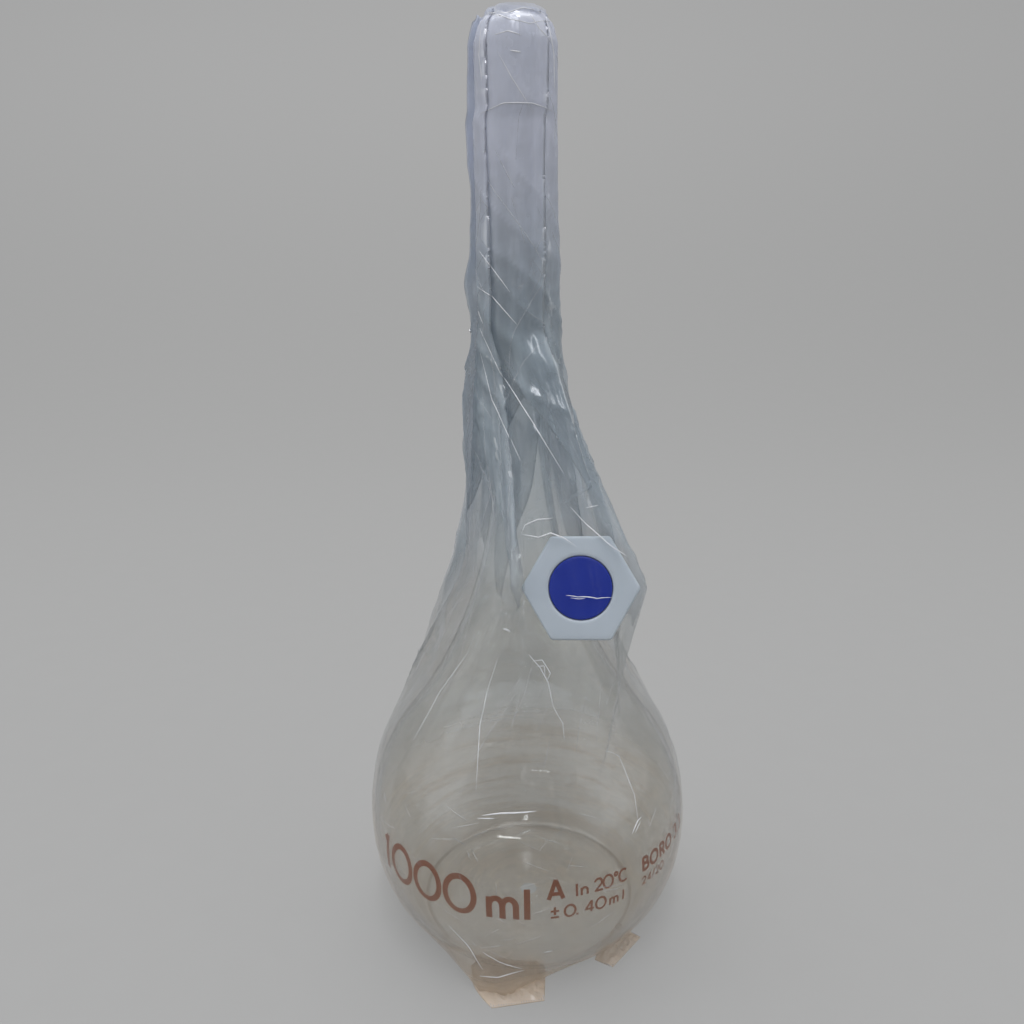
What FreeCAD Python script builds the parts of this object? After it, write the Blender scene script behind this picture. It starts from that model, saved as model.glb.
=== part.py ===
"""Volumetric flask, 1000 ml, in its thin bag, with its loose stopper.

The frame: the flask's axis is +Z, the table is z = 0, and the front of the flask is -Y.
Everything is in millimetres. The driving sizes are in the sheet "Sizes", and what follows
from them is in the sheet "Worked".
"""
import FreeCAD, Part
import math
import os

import Sketcher

doc = FreeCAD.newDocument("VolumetricFlask")

# ---------------------------------------------------------------- sizes

SIZES = {
    # glass
    "bulb_dia": 125.0,
    "bulb_cut_by_base": 18.7,
    "neck_dia": 20.5,
    "neck_start_height": 194.0,
    "glass_wall": 1.8,
    "foot_radius": 8.0,
    "push_up": 1.5,
    # ground joint at the mouth
    "total_height": 327.0,
    "socket_dia": 24.0,
    "socket_length": 20.0,
    "socket_wall": 1.2,
    "socket_neck_rise": 4.0,
    "rim_radius": 1.0,
    # fired marks
    "ring_below_socket": 42.4,
    "ring_width": 0.6,
    "enamel_thickness": 0.15,
    # stopper
    "plug_length": 20.0,
    "plug_wall": 1.8,
    "plug_chamfer": 1.0,
    "head_corners": 39.5,
    "head_thickness": 9.0,
    "head_edge_radius": 0.8,
    "insert_dia": 21.0,
    "insert_thickness": 2.0,
    "insert_gap": 0.1,
    # where it lies: its face's centre, and how the face is turned
    "stopper_below_neck": 39.4,
    "stopper_off_glass": 35.0,
    "stopper_azimuth": 21.4,
    "stopper_tilt": 20.8,
    "stopper_turn": -4.6,
    "stopper_roll": 0.6,
    # bag
    "film_wall": 0.6,
    "film_gap": 0.9,
    "film_neck_slack": 2.0,
    "film_tent_slack": 2.6,
    "film_top_dia": 21.0,
    "bag_above_mouth": 13.0,
    "tent_above_bulb_centre": 32.0,
    "tent_above_neck_start": 44.0,
    "bag_foot_margin": 2.1,
}

WORKED = {
    "bulb_radius": "Sizes.bulb_dia / 2",
    "bulb_centre_height": "bulb_radius - Sizes.bulb_cut_by_base",
    "neck_radius": "Sizes.neck_dia / 2",
    "socket_radius": "Sizes.socket_dia / 2",
    # the hollow curve between the bulb and the neck touches both of them
    "shoulder_rise": "Sizes.neck_start_height - bulb_centre_height",
    "shoulder_radius": "(pow(shoulder_rise; 2) + pow(neck_radius; 2) - pow(bulb_radius; 2))"
                       " / (2 * (bulb_radius - neck_radius))",
    "shoulder_centre": "neck_radius + shoulder_radius",
    "shoulder_share": "1 / (bulb_radius + shoulder_radius)",
    "bulb_inner_radius": "bulb_radius - Sizes.glass_wall",
    "shoulder_inner_radius": "shoulder_radius + Sizes.glass_wall",
    "neck_inner_radius": "neck_radius - Sizes.glass_wall",
    # the rounded edge between the bulb and the flat it stands on
    "foot_drop": "bulb_centre_height - Sizes.foot_radius",
    "foot_centre": "sqrt(pow(bulb_radius - Sizes.foot_radius; 2) - pow(foot_drop; 2))",
    "foot_share": "1 / (bulb_radius - Sizes.foot_radius)",
    "foot_inner_radius": "Sizes.foot_radius - Sizes.glass_wall",
    "foot_touch": "foot_centre * bulb_radius * foot_share",
    "foot_touch_height": "bulb_centre_height - foot_drop * bulb_radius * foot_share",
    "rest_inner": "foot_centre * 0.8",
    "push_up_radius": "(pow(rest_inner; 2) + pow(Sizes.push_up; 2)) / (2 * Sizes.push_up)",
    "floor_radius": "(pow(foot_centre; 2) + pow(Sizes.push_up; 2)) / (2 * Sizes.push_up)",
    # the ground joint, whose bore narrows by a tenth of its length
    "socket_outer": "socket_radius + Sizes.socket_wall",
    "socket_start": "Sizes.total_height - Sizes.socket_length - Sizes.socket_neck_rise",
    "socket_low_radius": "socket_radius - Sizes.socket_length * 0.1 / 2",
    "ring_height": "socket_start - Sizes.ring_below_socket",
    # the stopper
    "plug_tip_radius": "socket_radius - Sizes.plug_length * 0.1 / 2",
    "plug_bore_radius": "plug_tip_radius - Sizes.plug_wall",
    "insert_seat_dia": "Sizes.insert_dia + 2 * Sizes.insert_gap",
    "stopper_height": "Sizes.neck_start_height - Sizes.stopper_below_neck",
    # the bag
    "bag_foot_radius": "foot_touch + Sizes.bag_foot_margin",
    "bag_top": "Sizes.total_height + Sizes.bag_above_mouth",
    "tent_low": "bulb_centre_height + Sizes.tent_above_bulb_centre",
    "tent_high": "Sizes.neck_start_height + Sizes.tent_above_neck_start",
}


def fill_sheet(name, cells, prefix=""):
    sheet = doc.addObject("Spreadsheet::Sheet", name)
    for row, (alias, content) in enumerate(cells.items(), start=1):
        sheet.set(f"A{row}", alias)
        sheet.set(f"B{row}", prefix + str(content))
        sheet.setAlias(f"B{row}", alias)
    doc.recompute()
    return sheet


sizes = fill_sheet("Sizes", SIZES)
worked = fill_sheet("Worked", WORKED, prefix="=")


def size(alias):
    return float(getattr(sizes, alias))


def work(alias):
    return float(getattr(worked, alias))


def value_of(expression):
    return float(sizes.evalExpression(expression))


# ---------------------------------------------------------------- sketches

def bound_sketch(body, plane, name):
    sketch = body.newObject("Sketcher::SketchObject", name)
    plane_object = next(item for item in body.Origin.OriginFeatures if item.Role == plane)
    sketch.AttachmentSupport = [(plane_object, "")]
    sketch.MapMode = "FlatFace"
    return sketch


def bind_place(sketch, geometry, point, across, up):
    """Pin one end of a line or arc to expressions for its two coordinates."""
    for kind, axis, expression in (("DistanceX", -2, across), ("DistanceY", -1, up)):
        number = value_of(expression)
        if abs(number) < 1e-9:
            sketch.addConstraint(Sketcher.Constraint("PointOnObject", geometry, point, axis))
            continue
        index = sketch.addConstraint(Sketcher.Constraint(kind, -1, 1, geometry, point, number))
        sketch.setExpression(f"Constraints[{index}]", expression)


def sorted_angles(start, end, centre, side):
    first = math.atan2(start.y - centre.y, start.x - centre.x)
    last = math.atan2(end.y - centre.y, end.x - centre.x)
    if side < 0:
        first, last = last, first
    if last < first:
        last += 2 * math.pi
    return first, last


def draw_outline(sketch, corners):
    """A closed outline through corners (across, up, radius, side).

    The radius and side belong to the stretch that ends at the corner, and a straight stretch
    leaves them out. Every coordinate and radius is an expression. Side 1 has the arc's
    centre on the left of the way.
    """
    points = [FreeCAD.Vector(value_of(c[0]), value_of(c[1]), 0) for c in corners]
    ends = []
    for index, corner in enumerate(corners):
        start = points[index - 1]
        end = points[index]
        if len(corner) == 2:
            geometry = sketch.addGeometry(Part.LineSegment(start, end), False)
            ends.append((geometry, 1, 2))
            continue
        radius = value_of(corner[2])
        side = corner[3]
        centre = arc_centre(start, end, radius, side)
        circle = Part.Circle(centre, FreeCAD.Vector(0, 0, 1), radius)
        first, last = sorted_angles(start, end, centre, side)
        geometry = sketch.addGeometry(Part.ArcOfCircle(circle, first, last), False)
        ends.append((geometry, 1, 2) if side > 0 else (geometry, 2, 1))
    for index, corner in enumerate(corners):
        geometry, first_point, last_point = ends[index]
        following, following_first, _ = ends[(index + 1) % len(ends)]
        bind_place(sketch, geometry, last_point, corner[0], corner[1])
        sketch.addConstraint(Sketcher.Constraint("Coincident", geometry, last_point,
                                                 following, following_first))
        if len(corner) == 4:
            number = sketch.addConstraint(Sketcher.Constraint("Radius", geometry,
                                                              value_of(corner[2])))
            sketch.setExpression(f"Constraints[{number}]", corner[2])


def arc_centre(start, end, radius, side):
    chord = end - start
    across = FreeCAD.Vector(-chord.y, chord.x, 0).normalize()
    reach = math.sqrt(max(radius ** 2 - (chord.Length / 2) ** 2, 0.0))
    return (start + end) * 0.5 + across * (reach * side)


def turn_sketch(body, kind, name, sketch):
    """Turn a profile once round the body's Z axis, as a Revolution or a Groove."""
    feature = body.newObject(kind, name)
    feature.Profile = sketch
    z_axis = next(item for item in body.Origin.OriginFeatures if item.Role == "Z_Axis")
    feature.ReferenceAxis = (z_axis, [""])
    feature.Angle = 360.0
    doc.recompute()
    return feature


# ---------------------------------------------------------------- the glass flask

def make_flask():
    body = doc.addObject("PartDesign::Body", "FlaskBody")
    body.Label = "flask_body"
    outside = bound_sketch(body, "XZ_Plane", "OutsideProfile")
    draw_outline(outside, [
        ("0", "Sizes.push_up"),
        ("Worked.rest_inner", "0", "Worked.push_up_radius", -1),
        ("Worked.foot_centre", "0"),
        ("Worked.foot_touch", "Worked.foot_touch_height", "Sizes.foot_radius", 1),
        ("Worked.shoulder_centre * Worked.bulb_radius * Worked.shoulder_share",
         "Worked.bulb_centre_height"
         " + Worked.shoulder_rise * Worked.bulb_radius * Worked.shoulder_share",
         "Worked.bulb_radius", 1),
        ("Worked.neck_radius", "Sizes.neck_start_height", "Worked.shoulder_radius", -1),
        ("Worked.neck_radius", "Worked.socket_start"),
        ("Worked.socket_outer", "Worked.socket_start + Sizes.socket_neck_rise"),
        ("Worked.socket_outer", "Sizes.total_height - Sizes.rim_radius"),
        ("Worked.socket_outer - Sizes.rim_radius", "Sizes.total_height", "Sizes.rim_radius", 1),
        ("0", "Sizes.total_height"),
    ])
    turn_sketch(body, "PartDesign::Revolution", "Outside", outside)
    inside = bound_sketch(body, "XZ_Plane", "InsideProfile")
    draw_outline(inside, [
        ("0", "Sizes.push_up + Sizes.glass_wall"),
        ("Worked.foot_centre", "Sizes.glass_wall", "Worked.floor_radius", -1),
        ("Worked.foot_centre * Worked.bulb_inner_radius * Worked.foot_share",
         "Worked.bulb_centre_height"
         " - Worked.foot_drop * Worked.bulb_inner_radius * Worked.foot_share",
         "Worked.foot_inner_radius", 1),
        ("Worked.shoulder_centre * Worked.bulb_inner_radius * Worked.shoulder_share",
         "Worked.bulb_centre_height"
         " + Worked.shoulder_rise * Worked.bulb_inner_radius * Worked.shoulder_share",
         "Worked.bulb_inner_radius", 1),
        ("Worked.neck_inner_radius", "Sizes.neck_start_height",
         "Worked.shoulder_inner_radius", -1),
        ("Worked.neck_inner_radius", "Worked.socket_start - Sizes.glass_wall / 2"),
        ("Worked.socket_low_radius", "Sizes.total_height - Sizes.socket_length"),
        ("Worked.socket_radius", "Sizes.total_height"),
        ("0", "Sizes.total_height"),
    ])
    turn_sketch(body, "PartDesign::Groove", "Inside", inside)
    body.setExpression(".Placement.Base.z", "Sizes.film_wall")
    doc.recompute()
    return body


def make_ring():
    """The graduation line, a band of fired enamel round the neck."""
    outer = doc.addObject("Part::Cylinder", "RingOuter")
    outer.setExpression("Radius", "Worked.neck_radius + Sizes.enamel_thickness")
    outer.setExpression("Height", "Sizes.ring_width")
    inner = doc.addObject("Part::Cylinder", "RingInner")
    inner.setExpression("Radius", "Worked.neck_radius")
    inner.setExpression("Height", "Sizes.ring_width")
    ring = doc.addObject("Part::Cut", "Ring")
    ring.Label = "graduation_ring"
    ring.Base = outer
    ring.Tool = inner
    ring.setExpression(".Placement.Base.z",
                       "Sizes.film_wall + Worked.ring_height - Sizes.ring_width / 2")
    return ring


# ---------------------------------------------------------------- the fired lettering
# A character is a list of pen strokes on a cell one cap height high. A stroke is a list of
# points, and a closed one ends where it began.

def bow(across, up, reach, rise, first, last, step=15):
    """Points along part of an ellipse, with its angles in degrees."""
    count = max(2, int(abs(last - first) / step))
    angles = [math.radians(first + (last - first) * i / count) for i in range(count + 1)]
    return [(across + reach * math.cos(a), up + rise * math.sin(a)) for a in angles]


CHARACTERS = {
    "0": [bow(0.40, 0.5, 0.40, 0.5, 0, 360)],
    "1": [[(0.16, 0), (0.16, 1)], [(0.16, 0.97), (0.0, 0.82)]],
    "2": [bow(0.31, 0.69, 0.29, 0.29, 165, -42) + [(0.03, 0.03), (0.66, 0.03)]],
    "3": [bow(0.28, 0.735, 0.25, 0.235, 150, -90), bow(0.28, 0.265, 0.29, 0.235, 90, -150)],
    "4": [[(0.52, 0), (0.52, 1)], [(0.52, 0.97), (0.04, 0.28), (0.72, 0.28)]],
    "/": [[(0.0, -0.1), (0.42, 1.1)]],
    ".": [[(0.07, 0), (0.07, 0.16)]],
    "A": [[(0.0, 0), (0.35, 1)], [(0.70, 0), (0.35, 1)], [(0.12, 0.28), (0.58, 0.28)]],
    "B": [[(0.08, 0), (0.08, 1)],
          [(0.08, 0.95)] + bow(0.30, 0.735, 0.24, 0.215, 90, -90) + [(0.08, 0.52)],
          [(0.08, 0.52)] + bow(0.34, 0.285, 0.27, 0.235, 90, -90) + [(0.08, 0.05)]],
    "C": [bow(0.42, 0.5, 0.40, 0.48, 50, 310)],
    "I": [[(0.08, 0), (0.08, 1)]],
    "O": [bow(0.45, 0.5, 0.42, 0.46, 0, 360)],
    "R": [[(0.08, 0), (0.08, 1)],
          [(0.08, 0.95)] + bow(0.32, 0.72, 0.25, 0.23, 90, -90) + [(0.08, 0.49)],
          [(0.34, 0.49), (0.62, 0.0)]],
    "n": [[(0.08, 0), (0.08, 0.62)], bow(0.31, 0.35, 0.23, 0.24, 180, 0) + [(0.54, 0)]],
    "m": [[(0.08, 0), (0.08, 0.62)], bow(0.25, 0.37, 0.17, 0.22, 180, 0) + [(0.42, 0)],
          bow(0.59, 0.37, 0.17, 0.22, 180, 0) + [(0.76, 0)]],
    "l": [[(0.08, 0), (0.08, 0.88)]],
    "°": [bow(0.14, 0.86, 0.13, 0.13, 0, 360)],
    "±": [[(0.31, 0.28), (0.31, 0.98)], [(0.0, 0.63), (0.62, 0.63)], [(0.0, 0.07), (0.62, 0.07)]],
}

# mark: (characters with the azimuth of each one's left edge, base line over the bulb's centre,
# cap height, pen)
MARKS = {
    "capacity_print": (
        [("1", -60.3), ("0", -54.3), ("0", -41.6), ("0", -28.9), ("m", -14.6), ("l", -2.3)],
        -5.6, 14.0, 2.2),
    "class_print": ([("A", 5.6)], 2.3, 7.4, 1.5),
    "temperature_print": (
        [("I", 14.5), ("n", 16.1), ("2", 21.0), ("0", 24.2), ("°", 28.4), ("C", 30.2)],
        2.2, 4.8, 0.85),
    "tolerance_print": (
        [("±", 6.2), ("0", 10.8), (".", 14.7), ("4", 17.6), ("0", 21.5), ("m", 26.4),
         ("l", 31.6)], -5.6, 4.8, 0.85),
    "glass_type_print": (
        [("B", 40.6), ("O", 44.7), ("R", 50.4), ("O", 54.6), ("3", 62.0), (".", 66.2),
         ("3", 68.0)], 1.6, 5.4, 1.25),
    "joint_size_print": (
        [("2", 40.6), ("4", 43.2), ("/", 45.9), ("2", 48.0), ("0", 50.6)], -4.2, 3.2, 0.6),
}


def pen_prism(points, pen, depth):
    """The prism under one pen stroke: its outline at half a pen's width on either side."""
    closed = math.dist(points[0], points[-1]) < 1e-6
    if closed:
        points = points[:-1]
    left = []
    right = []
    last = len(points) - 1
    for index, (across, up) in enumerate(points):
        before = points[index - 1] if index or closed else points[0]
        after = points[(index + 1) % len(points)] if index < last or closed else points[last]
        way = FreeCAD.Vector(after[0] - before[0], after[1] - before[1], 0).normalize()
        side = FreeCAD.Vector(-way.y, way.x, 0) * (pen / 2)
        left.append(FreeCAD.Vector(across, up, 0) + side)
        right.append(FreeCAD.Vector(across, up, 0) - side)
    if closed:
        rims = [Part.Face(Part.makePolygon(rim + rim[:1])) for rim in (left, right)]
        rims.sort(key=lambda face: face.Area)
        face = rims[1].cut(rims[0])
    else:
        rim = left + right[::-1]
        face = Part.Face(Part.makePolygon(rim + rim[:1]))
    return face.extrude(FreeCAD.Vector(0, 0, depth))


def make_mark(label, letters, base_line, cap, pen):
    """Enamel lettering: pen strokes cut from a skin that lies on the bulb."""
    radius = work("bulb_radius")
    centre = FreeCAD.Vector(0, 0, work("bulb_centre_height"))
    skin = Part.makeSphere(radius + size("enamel_thickness"), centre)
    skin = skin.cut(Part.makeSphere(radius, centre))
    depth = radius / 4
    upright = FreeCAD.Rotation(FreeCAD.Vector(1, 0, 0), 90)
    solids = []
    for character, azimuth in letters:
        for stroke in CHARACTERS[character]:
            points = [(x * cap, y * cap) for x, y in stroke]
            prism = pen_prism(points, pen, 2 * depth)
            turn = FreeCAD.Rotation(FreeCAD.Vector(0, 0, 1), azimuth)
            inside = turn.multVec(FreeCAD.Vector(0, depth - radius, centre.z + base_line))
            prism.Placement = FreeCAD.Placement(inside, turn.multiply(upright))
            solids.append(prism)
    strokes = solids[0].multiFuse(solids[1:])
    feature = doc.addObject("Part::Feature", label)
    feature.Label = label
    feature.Shape = strokes.common(skin)
    feature.Placement.Base.z = size("film_wall")
    return feature


# ---------------------------------------------------------------- the outline in numbers

def glass_radius(height):
    """The flask's outer radius at a height over its base."""
    centre = work("bulb_centre_height")
    bulb = work("bulb_radius")
    if height <= work("foot_touch_height"):
        return work("foot_touch")
    if height <= centre + work("shoulder_rise") * bulb * work("shoulder_share"):
        return math.sqrt(bulb ** 2 - (height - centre) ** 2)
    if height <= size("neck_start_height"):
        below = size("neck_start_height") - height
        return work("shoulder_centre") - math.sqrt(work("shoulder_radius") ** 2 - below ** 2)
    if height <= work("socket_start"):
        return work("neck_radius")
    return work("socket_outer")


# ---------------------------------------------------------------- the stopper

def stopper_place():
    """The stopper lies on the shoulder with its head outwards; its origin is its face."""
    tilt = FreeCAD.Rotation(FreeCAD.Vector(1, 0, 0), 90 - size("stopper_tilt"))
    turn = FreeCAD.Rotation(FreeCAD.Vector(0, 0, 1), size("stopper_turn"))
    roll = FreeCAD.Rotation(FreeCAD.Vector(0, 0, 1), size("stopper_roll"))
    azimuth = math.radians(size("stopper_azimuth"))
    height = work("stopper_height")
    reach = glass_radius(height) + size("stopper_off_glass")
    where = FreeCAD.Vector(reach * math.sin(azimuth), -reach * math.cos(azimuth),
                           height + size("film_wall"))
    return FreeCAD.Placement(where, turn.multiply(tilt).multiply(roll))


def make_stopper():
    body = doc.addObject("PartDesign::Body", "StopperBody")
    body.Label = "stopper_body"
    hexagon = bound_sketch(body, "XY_Plane", "HeadOutline")
    corners = []
    for step in range(6):
        angle = 60 * step
        corners.append((f"Sizes.head_corners / 2 * cos({angle} deg)",
                        f"Sizes.head_corners / 2 * sin({angle} deg)"))
    draw_outline(hexagon, corners)
    head = body.newObject("PartDesign::Pad", "Head")
    head.Profile = hexagon
    head.Reversed = True
    head.setExpression("Length", "Sizes.head_thickness")
    doc.recompute()
    rounded = body.newObject("PartDesign::Fillet", "HeadEdges")
    rounded.Base = (head, [f"Edge{i + 1}" for i in range(len(head.Shape.Edges))])
    rounded.setExpression("Radius", "Sizes.head_edge_radius")
    doc.recompute()
    plug = bound_sketch(body, "XZ_Plane", "PlugProfile")
    under_head = "-Sizes.head_thickness"
    tip = "-Sizes.head_thickness - Sizes.plug_length"
    draw_outline(plug, [
        ("0", "-Sizes.head_thickness / 2"),
        ("0", tip),
        ("Worked.plug_tip_radius - Sizes.plug_chamfer", tip),
        ("Worked.plug_tip_radius", tip + " + Sizes.plug_chamfer"),
        ("Worked.socket_radius", under_head),
        ("Worked.socket_radius", "-Sizes.head_thickness / 2"),
    ])
    turn_sketch(body, "PartDesign::Revolution", "Plug", plug)
    bore = bound_sketch(body, "XZ_Plane", "BoreProfile")
    draw_outline(bore, [
        ("0", under_head),
        ("0", tip + " - Sizes.plug_wall"),
        ("Worked.plug_bore_radius", tip + " - Sizes.plug_wall"),
        ("Worked.plug_bore_radius", under_head),
    ])
    turn_sketch(body, "PartDesign::Groove", "Bore", bore)
    seat = bound_sketch(body, "XZ_Plane", "SeatProfile")
    draw_outline(seat, [
        ("0", "Sizes.plug_wall"),
        ("0", "-Sizes.insert_thickness"),
        ("Worked.insert_seat_dia / 2", "-Sizes.insert_thickness"),
        ("Worked.insert_seat_dia / 2", "Sizes.plug_wall"),
    ])
    turn_sketch(body, "PartDesign::Groove", "InsertSeat", seat)
    body.Placement = stopper_place()
    doc.recompute()
    return body


def make_insert():
    """The coloured disc that snaps into the head."""
    disc = doc.addObject("Part::Cylinder", "InsertDisc")
    disc.setExpression("Radius", "Sizes.insert_dia / 2")
    disc.setExpression("Height", "Sizes.insert_thickness")
    disc.Label = "stopper_insert"
    disc.Placement = stopper_place().multiply(
        FreeCAD.Placement(FreeCAD.Vector(0, 0, -size("insert_thickness")), FreeCAD.Rotation()))
    return disc


# ---------------------------------------------------------------- the bag

def film_radius(height):
    """The film's inner radius where nothing but the flask is under it."""
    loose = work("neck_radius") + size("film_neck_slack") + size("film_gap")
    return max(glass_radius(height) + size("film_gap"), loose)


def stopper_rim(along, radius, count):
    """Points round the stopper's own axis, with heights over the flask's base."""
    place = stopper_place()
    place.Base.z -= size("film_wall")
    angles = [2 * math.pi * step / count for step in range(count)]
    return [place.multVec(FreeCAD.Vector(radius * math.cos(a), radius * math.sin(a), along))
            for a in angles]


def tent_points():
    """What holds the film off the shoulder: the stopper, and where the tent starts and ends.

    Heights are over the flask's base.
    """
    tip = -size("head_thickness") - size("plug_length")
    points = stopper_rim(0.0, size("head_corners") / 2, 6)
    points += stopper_rim(-size("head_thickness"), size("head_corners") / 2, 6)
    points += stopper_rim(tip, work("plug_tip_radius"), 12)
    azimuth = math.radians(size("stopper_azimuth"))
    for height in (work("tent_low"), work("tent_high")):
        radius = film_radius(height) - size("film_gap") - size("film_tent_slack")
        points.append(FreeCAD.Vector(radius * math.sin(azimuth), -radius * math.cos(azimuth),
                                     height))
    return points


def tent_section(points, level):
    """Where the straight lines between points below and above a level pass through it."""
    below = [point for point in points if point.z <= level]
    above = [point for point in points if point.z > level]
    section = []
    for low in below:
        for high in above:
            share = (level - low.z) / (high.z - low.z)
            section.append(low + (high - low) * share)
    roof = size("film_gap") + size("film_tent_slack")
    return [(point.x, point.y, roof) for point in section]


def drawn_round(circles, extra):
    """A level ring of film stretched round circles (x, y, radius), as bearings and reaches."""
    steps = 180
    directions = [2 * math.pi * i / steps for i in range(steps)]
    support = [max(x * math.cos(a) + y * math.sin(a) + r for x, y, r in circles)
               for a in directions]
    ring = []
    for bearing in directions[::3]:
        reach = min(h / math.cos(a - bearing) for a, h in zip(directions, support)
                    if math.cos(a - bearing) > 0.05)
        ring.append((bearing, reach + extra))
    return ring


def film_levels():
    """Heights over the flask's base at which the film is drawn round what it covers."""
    centre = work("bulb_centre_height")
    levels = [0.0]
    for degrees in range(-40, 41, 8):
        levels.append(centre + work("bulb_radius") * math.sin(math.radians(degrees)))
    start = levels[-1]
    count = 12
    levels += [start + (work("tent_high") - start) * (i + 1) / count for i in range(count)]
    corners = (stopper_rim(0.0, size("head_corners") / 2, 6)
               + stopper_rim(-size("head_thickness"), size("head_corners") / 2, 6))
    corner_levels = [corner.z for corner in corners]
    spare = 2.0
    levels = [level for level in levels
              if min(abs(level - corner) for corner in corner_levels) > spare]
    for level in sorted(corner_levels):
        if min(abs(level - other) for other in levels) > spare / 4:
            levels.append(level)
    levels.sort()
    collar = work("socket_start")
    levels += [(levels[-1] + collar) / 2, collar - size("socket_neck_rise"),
               collar + size("film_gap"), size("total_height") + size("film_gap"),
               work("bag_top") - size("film_wall")]
    return levels


def film_skin(extra):
    """The space inside the film, let out by an extra width all round."""
    points = tent_points()
    levels = film_levels()
    wires = []
    for level in levels:
        radius = film_radius(level)
        if level == levels[0]:
            radius = work("bag_foot_radius") - 2 * size("film_wall")
        elif level == levels[-1]:
            radius = size("film_top_dia") / 2
        ring = drawn_round([(0.0, 0.0, radius)] + tent_section(points, level), extra)
        curve = Part.BSplineCurve()
        curve.interpolate([FreeCAD.Vector(reach * math.cos(a), reach * math.sin(a), level)
                           for a, reach in ring], True)
        wires.append(Part.Wire(curve.toShape()))
    return Part.makeLoft(wires, True, True)


def make_sleeve():
    """The film round the flask and the stopper, open at the top."""
    sleeve = doc.addObject("Part::Feature", "bag_sleeve")
    sleeve.Label = "bag_sleeve"
    sleeve.Shape = film_skin(size("film_wall")).cut(film_skin(0.0))
    sleeve.Placement.Base.z = size("film_wall")
    return sleeve


def make_foot():
    """The bag's bottom: the film under the flask, and the two corners of its welded end.

    The corners' outlines are in shares of the bottom's radius.
    """
    rim = work("bag_foot_radius")
    thickness = size("film_wall")
    plate = Part.makeCylinder(rim, thickness)
    ears = {
        "front": [(-0.49, -0.82), (-0.43, -1.07), (-0.30, -1.26), (0.09, -1.19), (0.11, -0.90)],
        "side": [(0.50, -0.78), (0.63, -0.87), (0.76, -0.80), (0.90, -0.56), (0.75, -0.45)],
    }
    solids = []
    for corners in ears.values():
        points = [FreeCAD.Vector(x * rim, y * rim, 0) for x, y in corners]
        face = Part.Face(Part.makePolygon(points + points[:1]))
        solids.append(face.extrude(FreeCAD.Vector(0, 0, thickness)))
    foot = doc.addObject("Part::Feature", "bag_foot")
    foot.Label = "bag_foot"
    foot.Shape = plate.multiFuse(solids).removeSplitter()
    return foot


# ---------------------------------------------------------------- build, check and write

def held_volume(flask):
    """Millilitres that the flask holds up to the graduation line."""
    level = size("film_wall") + work("ring_height")
    radius = size("bulb_dia")
    block = Part.makeCylinder(radius, level)
    hollow = block.cut(flask.Shape)
    middle = FreeCAD.Vector(0, 0, level / 2)
    held = [piece for piece in hollow.Solids if piece.isInside(middle, 0.01, True)]
    return held[0].Volume / 1000


def main():
    parts = [make_flask(), make_ring()]
    for label, (letters, base_line, cap, pen) in MARKS.items():
        parts.append(make_mark(label, letters, base_line, cap, pen))
    parts += [make_stopper(), make_insert(), make_sleeve(), make_foot()]
    doc.recompute()
    for item in doc.Objects:
        if "Invalid" in item.State or "Error" in item.State:
            raise RuntimeError(f"{item.Label} failed: {item.State}")
    os.makedirs("parts", exist_ok=True)
    for part in parts:
        shape = part.Shape
        if shape.isNull() or not shape.isValid():
            raise RuntimeError(f"{part.Label} has no valid shape")
        shape.exportStep(f"parts/{part.Label}.step")
        box = shape.BoundBox
        print(f"{part.Label:18s} {len(shape.Solids):3d} solids {shape.Volume:11.1f} mm3 "
              f"z {box.ZMin:7.2f} to {box.ZMax:7.2f}")
    print(f"holds {held_volume(parts[0]):.1f} ml to the ring")
    by_label = {part.Label: part.Shape for part in parts}
    for first, second in (("stopper_body", "flask_body"), ("bag_sleeve", "flask_body"),
                          ("bag_sleeve", "stopper_body")):
        gap = by_label[first].distToShape(by_label[second])[0]
        print(f"{first} to {second}: {gap:.2f} mm")


main()
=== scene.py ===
# %% [markdown]
# # A volumetric flask in its bag
# A glass flask stands in a thin clear bag, with its stopper lying loose against the shoulder.
# The CAD model fixes every size and place, and this lesson gives each piece its real surface:
# blown glass, fired enamel, milky moulded plastic and crinkled film.

# %% The frame
import bmesh
import bpy
import math
import numpy as np
from mathutils import Matrix, Vector
from mathutils.bvhtree import BVHTree


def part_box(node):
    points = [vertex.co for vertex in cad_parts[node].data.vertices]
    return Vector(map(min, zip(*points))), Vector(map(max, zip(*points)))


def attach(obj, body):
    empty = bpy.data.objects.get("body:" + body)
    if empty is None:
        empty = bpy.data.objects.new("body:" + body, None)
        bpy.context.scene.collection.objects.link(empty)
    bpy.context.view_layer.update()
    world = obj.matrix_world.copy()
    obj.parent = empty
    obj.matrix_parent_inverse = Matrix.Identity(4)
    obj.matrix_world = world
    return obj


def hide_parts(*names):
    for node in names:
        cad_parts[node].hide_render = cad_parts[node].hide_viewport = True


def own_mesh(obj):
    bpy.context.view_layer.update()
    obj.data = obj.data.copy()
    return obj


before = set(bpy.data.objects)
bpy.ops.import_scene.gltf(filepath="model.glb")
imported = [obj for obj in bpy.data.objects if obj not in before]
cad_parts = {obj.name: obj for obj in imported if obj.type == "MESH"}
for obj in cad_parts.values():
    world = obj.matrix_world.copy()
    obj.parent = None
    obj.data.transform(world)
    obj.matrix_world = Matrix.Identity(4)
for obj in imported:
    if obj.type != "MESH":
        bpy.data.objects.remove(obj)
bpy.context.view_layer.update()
MM = 0.001
scene = bpy.context.scene

# %% [markdown]
# ## Sizes
# What the CAD nodes can tell is read from their boxes. The walls and curves inside a node's box
# are repeated here, in metres, because a box only gives a node's corners.

# %% Sizes read from the frame
glass_low, glass_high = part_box("flask_body")
ring_low, ring_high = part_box("graduation_ring")
_, film_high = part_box("bag_sleeve")

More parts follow.
